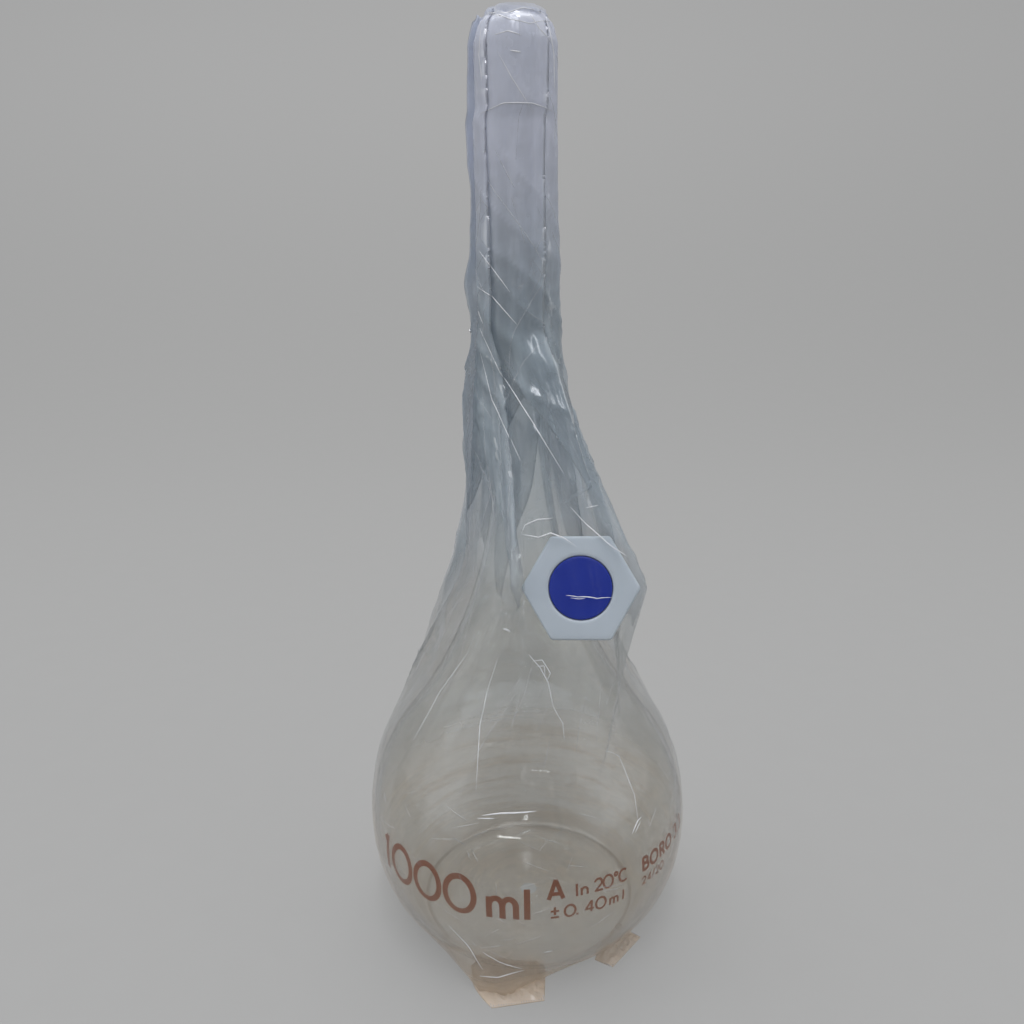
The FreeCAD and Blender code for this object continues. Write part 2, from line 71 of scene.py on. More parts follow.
base = glass_low.z
mouth = glass_high.z
bulb_radius = (glass_high.x - glass_low.x) / 2
enamel = 0.15 * MM
neck_radius = (ring_high.x - ring_low.x) / 2 - enamel
ring_height = (ring_low.z + ring_high.z) / 2
bag_top = film_high.z

bulb_centre = base + 43.8 * MM
neck_start = base + 194 * MM
glass_wall = 1.8 * MM
foot_round = 8 * MM
push_up = 1.5 * MM
socket_radius = 12 * MM
socket_length = 20 * MM
socket_wall = 1.2 * MM
socket_rise = 4 * MM
socket_outer = socket_radius + socket_wall
socket_start = mouth - socket_length - socket_rise
print(f"bulb {2000 * bulb_radius:.1f} mm, neck {2000 * neck_radius:.1f} mm",
      f"mouth {1000 * mouth:.1f} mm")

# %% [markdown]
# ## Camera
# The flask is seen from close by and from above its middle, so the neck leans towards the
# lens.

# %% Camera
camera_data = bpy.data.cameras.new("camera")
camera_data.sensor_width = 36
camera_data.lens = 31.2
camera = bpy.data.objects.new("camera", camera_data)
camera.matrix_world = (Matrix.Translation((-4 * MM, -320 * MM, base + 259 * MM))
                       @ Matrix.Rotation(math.radians(90 - 15.9), 4, "X")
                       @ Matrix.Rotation(math.radians(-1.1), 4, "Z"))
scene.collection.objects.link(camera)
scene.camera = camera
camera_data.clip_start = 0.01


# %% A class for shader sums
class Flow:
    """A shader socket that can be used in Python sums."""

    def __init__(self, finish, socket):
        self.finish = finish
        self.socket = socket

    def _sum(self, operation, first, second):
        return self.finish.node("ShaderNodeMath", {"operation": operation}, {0: first, 1: second})

    def __add__(self, other):
        return self._sum("ADD", self, other)

    def __radd__(self, other):
        return self._sum("ADD", other, self)

    def __sub__(self, other):
        return self._sum("SUBTRACT", self, other)

    def __rsub__(self, other):
        return self._sum("SUBTRACT", other, self)

    def __mul__(self, other):
        return self._sum("MULTIPLY", self, other)

    def __rmul__(self, other):
        return self._sum("MULTIPLY", other, self)

    def at_most(self, other):
        return self._sum("MINIMUM", self, other)

    def above(self, low, high):
        """0 below low, 1 above high, and a smooth step between."""
        return self.finish.node("ShaderNodeMapRange", {"interpolation_type": "SMOOTHSTEP"},
                                {"Value": self, "From Min": low, "From Max": high})


class Finish:
    """A material whose nodes are added one call at a time."""

    def __init__(self, name):
        self.material = bpy.data.materials.new(name)
        self.material.use_nodes = True
        self.tree = self.material.node_tree
        self.tree.nodes.clear()

    def node(self, kind, settings=None, inputs=None, output=0):
        """Any node: its settings are set first, then its sockets, and one output comes back."""
        made = self.tree.nodes.new(kind)
        for key, value in (settings or {}).items():
            setattr(made, key, value)
        for key, value in (inputs or {}).items():
            if isinstance(value, Flow):
                self.tree.links.new(value.socket, made.inputs[key])
            else:
                made.inputs[key].default_value = value
        return Flow(self, made.outputs[output])

    def mix(self, share, first, second):
        """A colour between two colours."""
        made = self.tree.nodes.new("ShaderNodeMix")
        made.data_type = "RGBA"
        for socket, value in ((made.inputs[0], share), (made.inputs[6], first),
                              (made.inputs[7], second)):
            if isinstance(value, Flow):
                self.tree.links.new(value.socket, socket)
            else:
                socket.default_value = value
        return Flow(self, made.outputs[2])

    def place(self):
        """Object coordinates, and their height."""
        where = self.node("ShaderNodeTexCoord", output="Object")
        height = self.node("ShaderNodeSeparateXYZ", inputs={0: where}, output="Z")
        return where, height

    def noise(self, where, scale, detail=3.0, rough=0.5, kind="FBM", distort=0.0):
        return self.node("ShaderNodeTexNoise", {"noise_type": kind},
                         {"Vector": where, "Scale": scale, "Detail": detail,
                          "Roughness": rough, "Distortion": distort})

    def bump(self, height, distance, strength=1.0):
        return self.node("ShaderNodeBump", None,
                         {"Height": height, "Distance": distance, "Strength": strength})

    def principled(self, inputs):
        return self.node("ShaderNodeBsdfPrincipled", None, inputs)

    def scatter(self, kind, colour):
        """A plain transparent or translucent shader of one colour."""
        return self.node("ShaderNodeBsdf" + kind, None, {"Color": colour})

    def blend(self, share, first, second):
        """A shader between two shaders."""
        return self.node("ShaderNodeMixShader", None, {0: share, 1: first, 2: second})

    def surface(self, shader):
        out = self.tree.nodes.new("ShaderNodeOutputMaterial")
        self.tree.links.new(shader.socket, out.inputs["Surface"])
        return self.material


def rgb(red, green, blue):
    return (red, green, blue, 1.0)


print("shader class ready")


# %% Mesh helpers
def new_piece(name, points, faces, material=None, smooth=True):
    mesh = bpy.data.meshes.new(name)
    mesh.from_pydata([tuple(map(float, p)) for p in points], [], faces)
    mesh.update()
    piece = bpy.data.objects.new(name, mesh)
    scene.collection.objects.link(piece)
    if material is not None:
        mesh.materials.append(material)
    mesh.polygons.foreach_set("use_smooth", [smooth] * len(mesh.polygons))
    return piece


def mark(mesh, name, values):
    """Keep one number for each vertex under a name."""
    made = mesh.attributes.new(name, "FLOAT", "POINT")
    made.data.foreach_set("value", np.reshape(values, -1).astype(np.float32))


def turn_outwards(piece):
    work = bmesh.new()
    work.from_mesh(piece.data)
    bmesh.ops.recalc_face_normals(work, faces=work.faces)
    work.to_mesh(piece.data)
    work.free()
    return piece


def lathe(name, outline, material, around=128, closed=False):
    """Turn an outline of (radius, height) round the Z axis. Points on the axis become one."""
    points = []
    rings = []
    for radius, height in outline:
        if radius < 1e-7:
            rings.append([len(points)])
            points.append((0, 0, height))
            continue
        rings.append(list(range(len(points), len(points) + around)))
        for step in range(around):
            angle = 2 * math.pi * step / around
            points.append((radius * math.cos(angle), radius * math.sin(angle), height))
    faces = []
    pairs = list(zip(rings, rings[1:]))
    if closed:
        pairs.append((rings[-1], rings[0]))
    for lower, upper in pairs:
        for step in range(around):
            following = (step + 1) % around
            if len(lower) == 1 and len(upper) == 1:
                break
            if len(lower) == 1:
                faces.append((lower[0], upper[following], upper[step]))
            elif len(upper) == 1:
                faces.append((lower[step], lower[following], upper[0]))
            else:
                faces.append((lower[step], lower[following], upper[following], upper[step]))
    return turn_outwards(new_piece(name, points, faces, material))


def arc(centre_radius, centre_height, radius, first, last, count):
    """Points on an arc in the (radius, height) plane, with angles in degrees."""
    angles = np.radians(np.linspace(first, last, count))
    return [(centre_radius + radius * math.cos(a), centre_height + radius * math.sin(a))
            for a in angles]


print("mesh helpers ready")

# %% [markdown]
# ## Floor and light
# The floor and wall are one swept sheet with no corner in it. It glows a little, so that the
# shadows on it are faint. Clear things show mostly what is around them: a ceiling tube, a large
# soft panel above, a low strip in front, and a pale room that is darker on the near side.

# %% Floor and wall
def paper():
    finish = Finish("grey_paper")
    where, height = finish.place()
    grain = finish.noise(where, 60.0, 2.0)
    floor = finish.mix(grain, rgb(0.140, 0.140, 0.139), rgb(0.146, 0.146, 0.145))
    # the wall is painted lighter than the floor: painted light, making up for the light that the
    # wall gets less of
    colour = finish.mix(height.above(0.0, 0.9), floor, rgb(0.22, 0.22, 0.22))
    return finish.surface(finish.principled({
        "Base Color": colour, "Roughness": 0.9, "Specular IOR Level": 0.1,
        "Emission Color": rgb(1.0, 1.0, 0.995), "Emission Strength": 0.235}))


def swept_paper():
    depth = 2.4
    front = -2.0
    bend = 1.6
    half = 6.0
    tall = 3.2
    line = ([(front, 0.0), (0.0, 0.0)] + arc(depth - bend, bend, bend, -90, 0, 25)
            + [(depth, tall)])
    points = [(side * half, y, z) for y, z in line for side in (-1, 1)]
    faces = [(2 * i, 2 * i + 1, 2 * i + 3, 2 * i + 2) for i in range(len(line) - 1)]
    return new_piece("paper_sweep", points, faces, paper())


sweep = swept_paper()


# %% Lights
def panel(name, place, target, width, height, watts, colour=(1, 1, 1)):
    """A soft rectangular light. With no target it hangs level and shines straight down."""
    data = bpy.data.lights.new(name, "AREA")
    data.shape = "RECTANGLE"
    data.size = width
    data.size_y = height
    data.energy = watts
    data.color = colour
    light = bpy.data.objects.new(name, data)
    light.location = place
    if target is not None:
        way = Vector(target) - Vector(place)
        light.rotation_euler = way.to_track_quat("-Z", "Y").to_euler()
    scene.collection.objects.link(light)


panel("ceiling_tube", (0.02, -0.8, 1.5), None, 0.12, 1.2, 11.0, (0.95, 0.96, 1.0))
panel("low_strip", (-0.45, -1.9, 0.36), (0, 0, 0.08), 0.55, 0.03, 0.7)
panel("soft_top", (-0.3, 0.5, 2.0), None, 2.0, 1.4, 20.0)


def room():
    """A pale room that is darker on the side that the flask is looked at from."""
    made = bpy.data.worlds.new("room")
    made.use_nodes = True
    tree = made.node_tree
    way = tree.nodes.new("ShaderNodeTexCoord")
    facing = tree.nodes.new("ShaderNodeVectorMath")
    facing.operation = "DOT_PRODUCT"
    facing.inputs[1].default_value = (0.0, -0.95, 0.31)
    tree.links.new(way.outputs["Generated"], facing.inputs[0])
    shade = tree.nodes.new("ShaderNodeMapRange")
    shade.interpolation_type = "SMOOTHSTEP"
    for socket, value in (("From Min", 0.45), ("From Max", 0.95), ("To Min", 0.84),
                          ("To Max", 0.22)):
        shade.inputs[socket].default_value = value
    tree.links.new(facing.outputs["Value"], shade.inputs["Value"])
    glow = tree.nodes["Background"]
    glow.inputs["Color"].default_value = rgb(0.975, 0.985, 1.0)
    tree.links.new(shade.outputs["Result"], glow.inputs["Strength"])
    return made


scene.world = room()
scene.view_settings.view_transform = "Standard"
scene.cycles.transparent_max_bounces = 48
scene.cycles.max_bounces = 24
scene.cycles.transmission_bounces = 16
print("lights ready")

# %% [markdown]
# ## The glass
# A flask is blown in one piece, so it is one closed wall with an outside and an inside. Its
# outline is a few arcs that touch each other, and turning that outline once round the axis
# gives a smooth surface. The glass bends light, so the wall's real thickness matters.

# %% The outline of the glass
def tangent_arcs(wall):
    """The flask's outline at a depth of one wall inside its outer surface."""
    bulb = bulb_radius - wall
    rise = neck_start - bulb_centre
    hollow = ((rise ** 2 + neck_radius ** 2 - bulb_radius ** 2)
              / (2 * (bulb_radius - neck_radius)))
    hollow_centre = neck_radius + hollow
    drop = bulb_centre - base - foot_round
    foot_centre = math.sqrt((bulb_radius - foot_round) ** 2 - drop ** 2)
    low = math.degrees(math.atan2(-drop, foot_centre))
    high = math.degrees(math.atan2(rise, hollow_centre))
    line = arc(foot_centre, base + foot_round, foot_round - wall, -90, low, 14)
    line += arc(0, bulb_centre, bulb, low, high, 72)[1:]
    line += arc(hollow_centre, neck_start, hollow + wall, 180 + high, 180, 44)[1:]
    return line, foot_centre


def straight(start, end, steps):
    """Even points on a straight line, without its first one."""
    return [tuple(a + (b - a) * i / steps for a, b in zip(start, end))
            for i in range(1, steps + 1)]


def swell(start, end):
    """Points from one radius to another over the rise below the joint."""
    points = []
    for radius, height in straight((0.0, socket_start), (1.0, socket_start + socket_rise), 8):
        blend = radius * radius * (3 - 2 * radius)
        points.append((start + (end - start) * blend, height))
    return points


def pushed_up(reach, height):
    """The bottom, a shallow dome, from the axis out to a radius."""
    return [(reach * i / 10, height + push_up * (1 - (i / 10) ** 2)) for i in range(11)]


def glass_outline():
    outside, foot_centre = tangent_arcs(0.0)
    inside, _ = tangent_arcs(glass_wall)
    neck_bore = neck_radius - glass_wall
    bead = 0.5 * MM
    lip = 0.3 * MM
    outside = pushed_up(0.8 * foot_centre, base) + outside
    outside += straight((neck_radius, neck_start), (neck_radius, socket_start), 12)
    outside += swell(neck_radius, socket_outer)
    outside += [(socket_outer, mouth - 12 * MM), (socket_outer, mouth - 3 * MM)]
    outside += arc(socket_outer - bead, mouth - bead, bead, 0, 90, 8)
    inside = pushed_up(foot_centre, base + glass_wall) + inside[1:]
    inside += straight((neck_bore, neck_start), (neck_bore, socket_start), 12)
    low = socket_radius - socket_length / 20
    inside += swell(neck_bore, low)
    inside += straight((low, mouth - socket_length), (socket_radius, mouth), 6)[:-1]
    inside += [(socket_radius, mouth - lip), (socket_radius + lip, mouth)]
    return outside + inside[::-1]


# %% Glass finish
def clear_glass():
    """Clear borosilicate, faintly uneven, ground matt inside the mouth."""
    finish = Finish("blown_glass")
    where, height = finish.place()
    long_way = finish.node("ShaderNodeMapping", None, {"Vector": where, "Scale": (1, 1, 0.25)})
    waves = finish.noise(long_way, 26.0, 2.0)
    parts = finish.node("ShaderNodeVectorMath", {"operation": "MULTIPLY"},
                        {0: where, 1: (1, 1, 0)})
    radius = finish.node("ShaderNodeVectorMath", {"operation": "LENGTH"}, {0: parts},
                         output="Value")
    ground = (height.above(mouth - socket_length - 0.4 * MM, mouth - socket_length + 0.4 * MM)
              * (1 - radius.above(socket_radius + 0.3 * MM, socket_radius + 0.5 * MM)))
    rough = 0.015 + ground * 0.38
    grit = finish.noise(where, 4200.0, 2.0)
    relief = waves * 0.6 + grit * ground * 0.05
    return finish.surface(finish.principled({
        "Base Color": rgb(0.985, 0.995, 0.99), "Roughness": rough, "IOR": 1.474,
        "Transmission Weight": 1.0, "Normal": finish.bump(relief, 0.25 * MM, 0.35)}))


glass = clear_glass()
flask = lathe("flask_glass", glass_outline(), glass, around=160)
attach(flask, "flask")
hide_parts("flask_body")
print("glass faces:", len(flask.data.polygons))

# %% [markdown]
# ## Fired enamel
# The line on the neck and the lettering are enamel printed on the glass and fired into it, so
# they are thin, slightly raised and a little uneven. Each character is drawn with pen strokes
# on a flat strip. A small tree of geometry nodes then wraps the strip round the bulb, because
# one rule for all the lettering keeps every line level.

# %% Enamel finish
def fired_enamel():
    finish = Finish("fired_enamel")
    where, _ = finish.place()
    cloud = finish.noise(where, 900.0, 4.0, 0.6)
    colour = finish.mix(cloud, rgb(0.22, 0.045, 0.006), rgb(0.33, 0.080, 0.014))
    pits = finish.noise(where, 5200.0, 2.0)
    return finish.surface(finish.principled({
        "Base Color": colour, "Roughness": 0.32 + cloud * 0.2,
        "Normal": finish.bump(pits, 0.03 * MM, 0.6)}))


enamel_finish = fired_enamel()
line_half = (ring_high.z - ring_low.z) / 2
ring = lathe("graduation_line", [
    (neck_radius - 0.05 * MM, ring_height - line_half),
    (neck_radius + 0.7 * enamel, ring_height - line_half),
    (neck_radius + enamel, ring_height - 0.6 * line_half),
    (neck_radius + enamel, ring_height + 0.6 * line_half),
    (neck_radius + 0.7 * enamel, ring_height + line_half),
    (neck_radius - 0.05 * MM, ring_height + line_half)], enamel_finish, closed=True)
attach(ring, "flask")
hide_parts("graduation_ring")
print("graduation line at", round(1000 * ring_height, 1), "mm")


# %% Pen strokes for the characters
def bow(across, up, reach, rise, first, last, step=8):
    """Points along part of an ellipse, with its angles in degrees."""
    count = max(3, int(abs(last - first) / step))
    angles = np.radians(np.linspace(first, last, count + 1))
    return [(across + reach * math.cos(a), up + rise * math.sin(a)) for a in angles]


CHARACTERS = {
    "0": [bow(0.40, 0.5, 0.40, 0.5, 0, 360)],
    "1": [[(0.16, 0), (0.16, 1)], [(0.16, 0.97), (0.0, 0.82)]],
    "2": [bow(0.31, 0.69, 0.29, 0.29, 165, -42) + [(0.03, 0.03), (0.66, 0.03)]],
    "3": [bow(0.28, 0.735, 0.25, 0.235, 150, -90), bow(0.28, 0.265, 0.29, 0.235, 90, -150)],
    "4": [[(0.52, 0), (0.52, 1)], [(0.52, 0.97), (0.04, 0.28), (0.72, 0.28)]],
    "/": [[(0.0, -0.1), (0.42, 1.1)]],
    ".": [[(0.07, 0), (0.07, 0.16)]],
    "A": [[(0.0, 0), (0.35, 1)], [(0.70, 0), (0.35, 1)], [(0.12, 0.28), (0.58, 0.28)]],
    "B": [[(0.08, 0), (0.08, 1)],
          [(0.08, 0.95)] + bow(0.30, 0.735, 0.24, 0.215, 90, -90) + [(0.08, 0.52)],
          [(0.08, 0.52)] + bow(0.34, 0.285, 0.27, 0.235, 90, -90) + [(0.08, 0.05)]],
    "C": [bow(0.42, 0.5, 0.40, 0.48, 50, 310)],
    "I": [[(0.08, 0), (0.08, 1)]],
    "O": [bow(0.45, 0.5, 0.42, 0.46, 0, 360)],
    "R": [[(0.08, 0), (0.08, 1)],
          [(0.08, 0.95)] + bow(0.32, 0.72, 0.25, 0.23, 90, -90) + [(0.08, 0.49)],
          [(0.34, 0.49), (0.62, 0.0)]],
    "n": [[(0.08, 0), (0.08, 0.62)], bow(0.31, 0.35, 0.23, 0.24, 180, 0) + [(0.54, 0)]],
    "m": [[(0.08, 0), (0.08, 0.62)], bow(0.25, 0.37, 0.17, 0.22, 180, 0) + [(0.42, 0)],
          bow(0.59, 0.37, 0.17, 0.22, 180, 0) + [(0.76, 0)]],
    "l": [[(0.08, 0), (0.08, 0.88)]],
    "°": [bow(0.14, 0.86, 0.13, 0.13, 0, 360)],
    "±": [[(0.31, 0.28), (0.31, 0.98)], [(0.0, 0.63), (0.62, 0.63)], [(0.0, 0.07), (0.62, 0.07)]],
}

# mark: (characters with the azimuth of each one's left edge, base line over the bulb's
# centre, cap height, pen), in degrees and mm
MARKS = {
    "capacity_print": (
        [("1", -60.3), ("0", -54.3), ("0", -41.6), ("0", -28.9), ("m", -14.6), ("l", -2.3)],
        -5.6, 14.0, 2.2),
    "class_print": ([("A", 5.6)], 2.3, 7.4, 1.5),
    "temperature_print": (
        [("I", 14.5), ("n", 16.1), ("2", 21.0), ("0", 24.2), ("°", 28.4), ("C", 30.2)],
        2.2, 4.8, 0.85),
    "tolerance_print": (
        [("±", 6.2), ("0", 10.8), (".", 14.7), ("4", 17.6), ("0", 21.5), ("m", 26.4),
         ("l", 31.6)], -5.6, 4.8, 0.85),
    "glass_type_print": (
        [("B", 40.6), ("O", 44.7), ("R", 50.4), ("O", 54.6), ("3", 62.0), (".", 66.2),
         ("3", 68.0)], 1.6, 5.4, 1.25),
    "joint_size_print": (
        [("2", 40.6), ("4", 43.2), ("/", 45.9), ("2", 48.0), ("0", 50.6)], -4.2, 3.2, 0.6),
}


def fine_line(points, spacing):
    """The same line with more points, so that it can bend round the bulb."""
    line = [np.array(points[0], float)]
    for point in points[1:]:
        start = line[-1]
        end = np.array(point, float)
        count = max(1, math.ceil(np.linalg.norm(end - start) / spacing))
        line += [start + (end - start) * (i + 1) / count for i in range(count)]
    return np.array(line)


def pen_strip(points, pen):
    """A flat strip along a line: its vertices across, three to a step, and its faces."""
    closed = np.linalg.norm(points[0] - points[-1]) < 1e-9
    if closed:
        points = points[:-1]
        before = np.roll(points, 1, axis=0)
        after = np.roll(points, -1, axis=0)
    else:
        before = np.vstack([points[:1], points[:-1]])
        after = np.vstack([points[1:], points[-1:]])
    way = after - before
    way /= np.linalg.norm(way, axis=1)[:, None]
    side = np.stack([-way[:, 1], way[:, 0]], axis=1) * pen / 2
    vertices = np.stack([points + side, points, points - side], axis=1).reshape(-1, 2)
    count = len(points)
    faces = []
    for step in range(count if closed else count - 1):
        here = 3 * step
        there = 3 * ((step + 1) % count)
        for lane in (0, 1):
            faces.append((here + lane, here + lane + 1, there + lane + 1, there + lane))
    return vertices, faces


# %% Geometry nodes that wrap flat lettering round the bulb
def new_tree(name, numbers):
    """A tree that takes a mesh, some numbers and a material."""
    tree = bpy.data.node_groups.new(name, "GeometryNodeTree")
    face = tree.interface
    face.new_socket("Geometry", in_out="INPUT", socket_type="NodeSocketGeometry")
    for number in numbers:
        face.new_socket(number, in_out="INPUT", socket_type="NodeSocketFloat")
    face.new_socket("Material", in_out="INPUT", socket_type="NodeSocketMaterial")
    face.new_socket("Geometry", in_out="OUTPUT", socket_type="NodeSocketGeometry")
    return tree, tree.nodes.new("NodeGroupInput").outputs


def add(tree, kind, inputs=None, **settings):
    """A node: its settings are set first, then its sockets, which are links or values."""
    made = tree.nodes.new(kind)
    for key, value in settings.items():
        setattr(made, key, value)
    for key, value in (inputs or {}).items():
        if isinstance(value, bpy.types.NodeSocket):
            tree.links.new(value, made.inputs[key])
        else:
            made.inputs[key].default_value = value
    return made.outputs


def end_tree(tree, given, geometry):
    """Real geometry with the given material on it."""
    real = add(tree, "GeometryNodeRealizeInstances", {0: geometry})
    paint = add(tree, "GeometryNodeSetMaterial",
                {"Geometry": real[0], "Material": given["Material"]})
    add(tree, "NodeGroupOutput", {0: paint[0]})
    return tree


def wrap_tree():
    tree, given = new_tree("wrap_round_bulb", ("Bulb Radius", "Centre Height", "Lift"))

    def sums(operation, *values):
        return add(tree, "ShaderNodeMath", dict(enumerate(values)), operation=operation)[0]

    parts = add(tree, "ShaderNodeSeparateXYZ", {0: add(tree, "GeometryNodeInputPosition")[0]})
    radius = sums("ADD", given["Bulb Radius"], given["Lift"])
    level = sums("SUBTRACT", parts["Z"], given["Centre Height"])
    ring_radius = sums("SQRT", sums("SUBTRACT", sums("MULTIPLY", radius, radius),
                                    sums("MULTIPLY", level, level)))
    angle = sums("DIVIDE", parts["X"], given["Bulb Radius"])
    behind = sums("MULTIPLY", ring_radius, sums("COSINE", angle))
    joined = add(tree, "ShaderNodeCombineXYZ", {
        "X": sums("MULTIPLY", ring_radius, sums("SINE", angle)),
        "Y": sums("MULTIPLY", behind, -1.0), "Z": parts["Z"]})
    wrap = add(tree, "GeometryNodeSetPosition",
               {"Geometry": given["Geometry"], "Position": joined[0]})
    return end_tree(tree, given, wrap[0])


def run_tree(piece, tree, values):
    """Run a tree on a piece with its inputs set, and keep the plain mesh that it makes."""
    modifier = piece.modifiers.new("tree", "NODES")
    modifier.node_group = tree
    for item in tree.interface.items_tree:
        if item.item_type == "SOCKET" and item.in_out == "INPUT" and item.name in values:
            modifier[item.identifier] = values[item.name]
    piece.update_tag()
    bpy.context.view_layer.update()
    depsgraph = bpy.context.evaluated_depsgraph_get()
    mesh = bpy.data.meshes.new_from_object(piece.evaluated_get(depsgraph))
    piece.modifiers.clear()
    piece.data = mesh
    mesh.name = piece.name
    return piece


# %% Lettering
def lettering(name, letters, base_line, cap, pen, tree):
    vertices = []
    faces = []
    for character, azimuth in letters:
        left = math.radians(azimuth) * bulb_radius
        for stroke in CHARACTERS[character]:
            spot = [(left + x * cap * MM, bulb_centre + base_line * MM + y * cap * MM)
                    for x, y in stroke]
            strip, strip_faces = pen_strip(fine_line(spot, 1.0 * MM), pen * MM)
            start = len(vertices)
            vertices += [(x, 0.0, z) for x, z in strip]
            faces += [tuple(start + i for i in face) for face in strip_faces]
    piece = new_piece(name, vertices, faces)
    return run_tree(piece, tree, {
        "Bulb Radius": bulb_radius, "Centre Height": bulb_centre, "Lift": 0.06 * MM,
        "Material": enamel_finish})


wrap = wrap_tree()
for node, (letters, base_line, cap, pen) in MARKS.items():
    enamel_mark = lettering(node + "_enamel", letters, base_line, cap, pen, wrap)
    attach(enamel_mark, "flask")
    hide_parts(node)
    print(node, len(enamel_mark.data.polygons), "faces")

# %% [markdown]
# ## The stopper
# The stopper is one moulding of milky plastic: a thick hexagonal head over a hollow cone. Light
# goes a little way into it, so its shader scatters light under the surface. A blue disc snaps
# into a recess in the head. Both are built lying in their own upright frame and then put where
# the CAD body lies.

# %% Where the stopper lies
head_corners = 39.5 * MM
head_thickness = 9 * MM
plug_length = 20 * MM
insert_low, insert_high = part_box("stopper_insert")
tilt = Matrix.Rotation(math.radians(90 - 20.8), 4, "X")
turn = Matrix.Rotation(math.radians(-4.6), 4, "Z")
roll = Matrix.Rotation(math.radians(0.6), 4, "Z")
lean = turn @ tilt @ roll
disc_middle = (insert_low + insert_high) / 2
disc_thickness = 2.0 * MM
face_middle = disc_middle + (lean @ Vector((0, 0, 1))) * disc_thickness / 2
stopper_place = Matrix.Translation(face_middle) @ lean
print("stopper face at", [round(1000 * v, 1) for v in face_middle])


# %% Stopper finishes
def milky_plastic():
    finish = Finish("milky_plastic")
    where, _ = finish.place()
    cloud = finish.noise(where, 70.0, 3.0)
    colour = finish.mix(cloud, rgb(0.50, 0.555, 0.615), rgb(0.575, 0.63, 0.685))
    grain = finish.noise(where, 2600.0, 3.0, 0.6)
    swirl = finish.noise(where, 120.0, 2.0, distort=1.2)
    return finish.surface(finish.principled({
        "Base Color": colour, "Roughness": 0.40 + cloud * 0.12, "IOR": 1.51,
        "Subsurface Weight": 0.45, "Subsurface Radius": (1.0, 0.95, 0.9),
        "Subsurface Scale": 2.5 * MM,
        "Normal": finish.bump(grain * 0.2 + swirl, 0.12 * MM, 0.35)}))


def blue_plastic():
    finish = Finish("blue_plastic")
    where, _ = finish.place()
    cloud = finish.noise(where, 160.0, 3.0)
    colour = finish.mix(cloud, rgb(0.002, 0.018, 0.26), rgb(0.004, 0.026, 0.34))
    grain = finish.noise(where, 3000.0, 3.0, 0.6)
    return finish.surface(finish.principled({
        "Base Color": colour, "Roughness": 0.34 + cloud * 0.12, "Specular IOR Level": 0.25,
        "Normal": finish.bump(grain, 0.03 * MM, 0.5)}))


# %% Stopper meshes
def head_bearings():
    """Bearings round the head, closer together at the hexagon's six corners."""
    half = 14
    bearings = []
    for side in range(6):
        for step in range(-half, half):
            share = step / half
            bearings.append(math.radians(60 * side + 30 * math.copysign(abs(share) ** 1.7, share)))
    return bearings


BEARINGS = head_bearings()


def round_hexagon(reach, corner, height):
    """A level hexagon with rounded corners, as points."""
    lean = math.radians(30)
    inner = reach - corner / math.cos(lean)
    limit = math.atan2(corner * math.sin(lean), inner + corner * math.cos(lean))
    points = []
    for bearing in BEARINGS:
        off = abs((bearing + lean) % (2 * lean) - lean)
        if off < limit:
            radius = inner * math.cos(off) + math.sqrt(corner ** 2 - (inner * math.sin(off)) ** 2)
        else:
            radius = reach * math.cos(lean) / math.cos(lean - off)
        points.append((radius * math.cos(bearing), radius * math.sin(bearing), height))
    return points


def stack_rings(rings):
    """Faces between level rings that all have the same number of points."""
    count = len(rings[0])
    faces = []
    for level in range(len(rings) - 1):
        for step in range(count):
            following = (step + 1) % count
            faces.append((level * count + step, level * count + following,
                          (level + 1) * count + following, (level + 1) * count + step))
    return [p for ring in rings for p in ring], faces


def stopper_mesh():
    """Rings from the disc's recess, over the head, down the cone and up inside it."""
    reach = head_corners / 2
    edge = 0.9 * MM
    rings = []

    def circle(radius, height):
        rings.append([(radius * math.cos(a), radius * math.sin(a), height) for a in BEARINGS])

    recess = 10.7 * MM
    circle(0.5 * MM, -2.05 * MM)
    circle(recess - 0.1 * MM, -2.05 * MM)
    circle(recess, -1.9 * MM)
    circle(recess, -0.25 * MM)
    circle(recess + 0.25 * MM, 0.0)
    circle(recess + 1.2 * MM, 0.03 * MM)
    rings.append(round_hexagon(reach - 2.6 * MM, 1.4 * MM, 0.02 * MM))
    for step in range(0, 7):
        angle = math.radians(90 - 15 * step)
        rings.append(round_hexagon(reach - edge + edge * math.cos(angle), 1.6 * MM,
                                   -edge + edge * math.sin(angle)))
    for step in range(0, 5):
        angle = math.radians(-22.5 * step)
        rings.append(round_hexagon(reach - edge + edge * math.cos(angle), 1.6 * MM,
                                   -head_thickness + edge + edge * math.sin(angle)))
    root = socket_radius + 0.9 * MM
    circle(root, -head_thickness)
    circle(socket_radius, -head_thickness - 0.9 * MM)
    tip = socket_radius - plug_length / 20
    circle(tip + 0.05 * MM, -head_thickness - plug_length + 1.2 * MM)
    circle(tip - 1.0 * MM, -head_thickness - plug_length)
    bore = tip - 1.8 * MM
    circle(bore + 0.2 * MM, -head_thickness - plug_length)
    circle(bore, -head_thickness - plug_length + 0.4 * MM)
    circle(bore, -head_thickness - 2.6 * MM)
    circle(bore - 0.8 * MM, -head_thickness - 1.9 * MM)
    circle(0.5 * MM, -head_thickness - 1.8 * MM)
    points, faces = stack_rings(rings)
    last = len(rings[0])
    total = len(points)
    faces.append(tuple(range(last))[::-1])
    faces.append(tuple(range(total - last, total)))
    return points, faces


def put(points, place):
    return [tuple(place @ Vector(p)) for p in points]


points, faces = stopper_mesh()
stopper = turn_outwards(new_piece("stopper_moulding", put(points, stopper_place), faces,
                                  milky_plastic()))
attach(stopper, "stopper")
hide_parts("stopper_body")

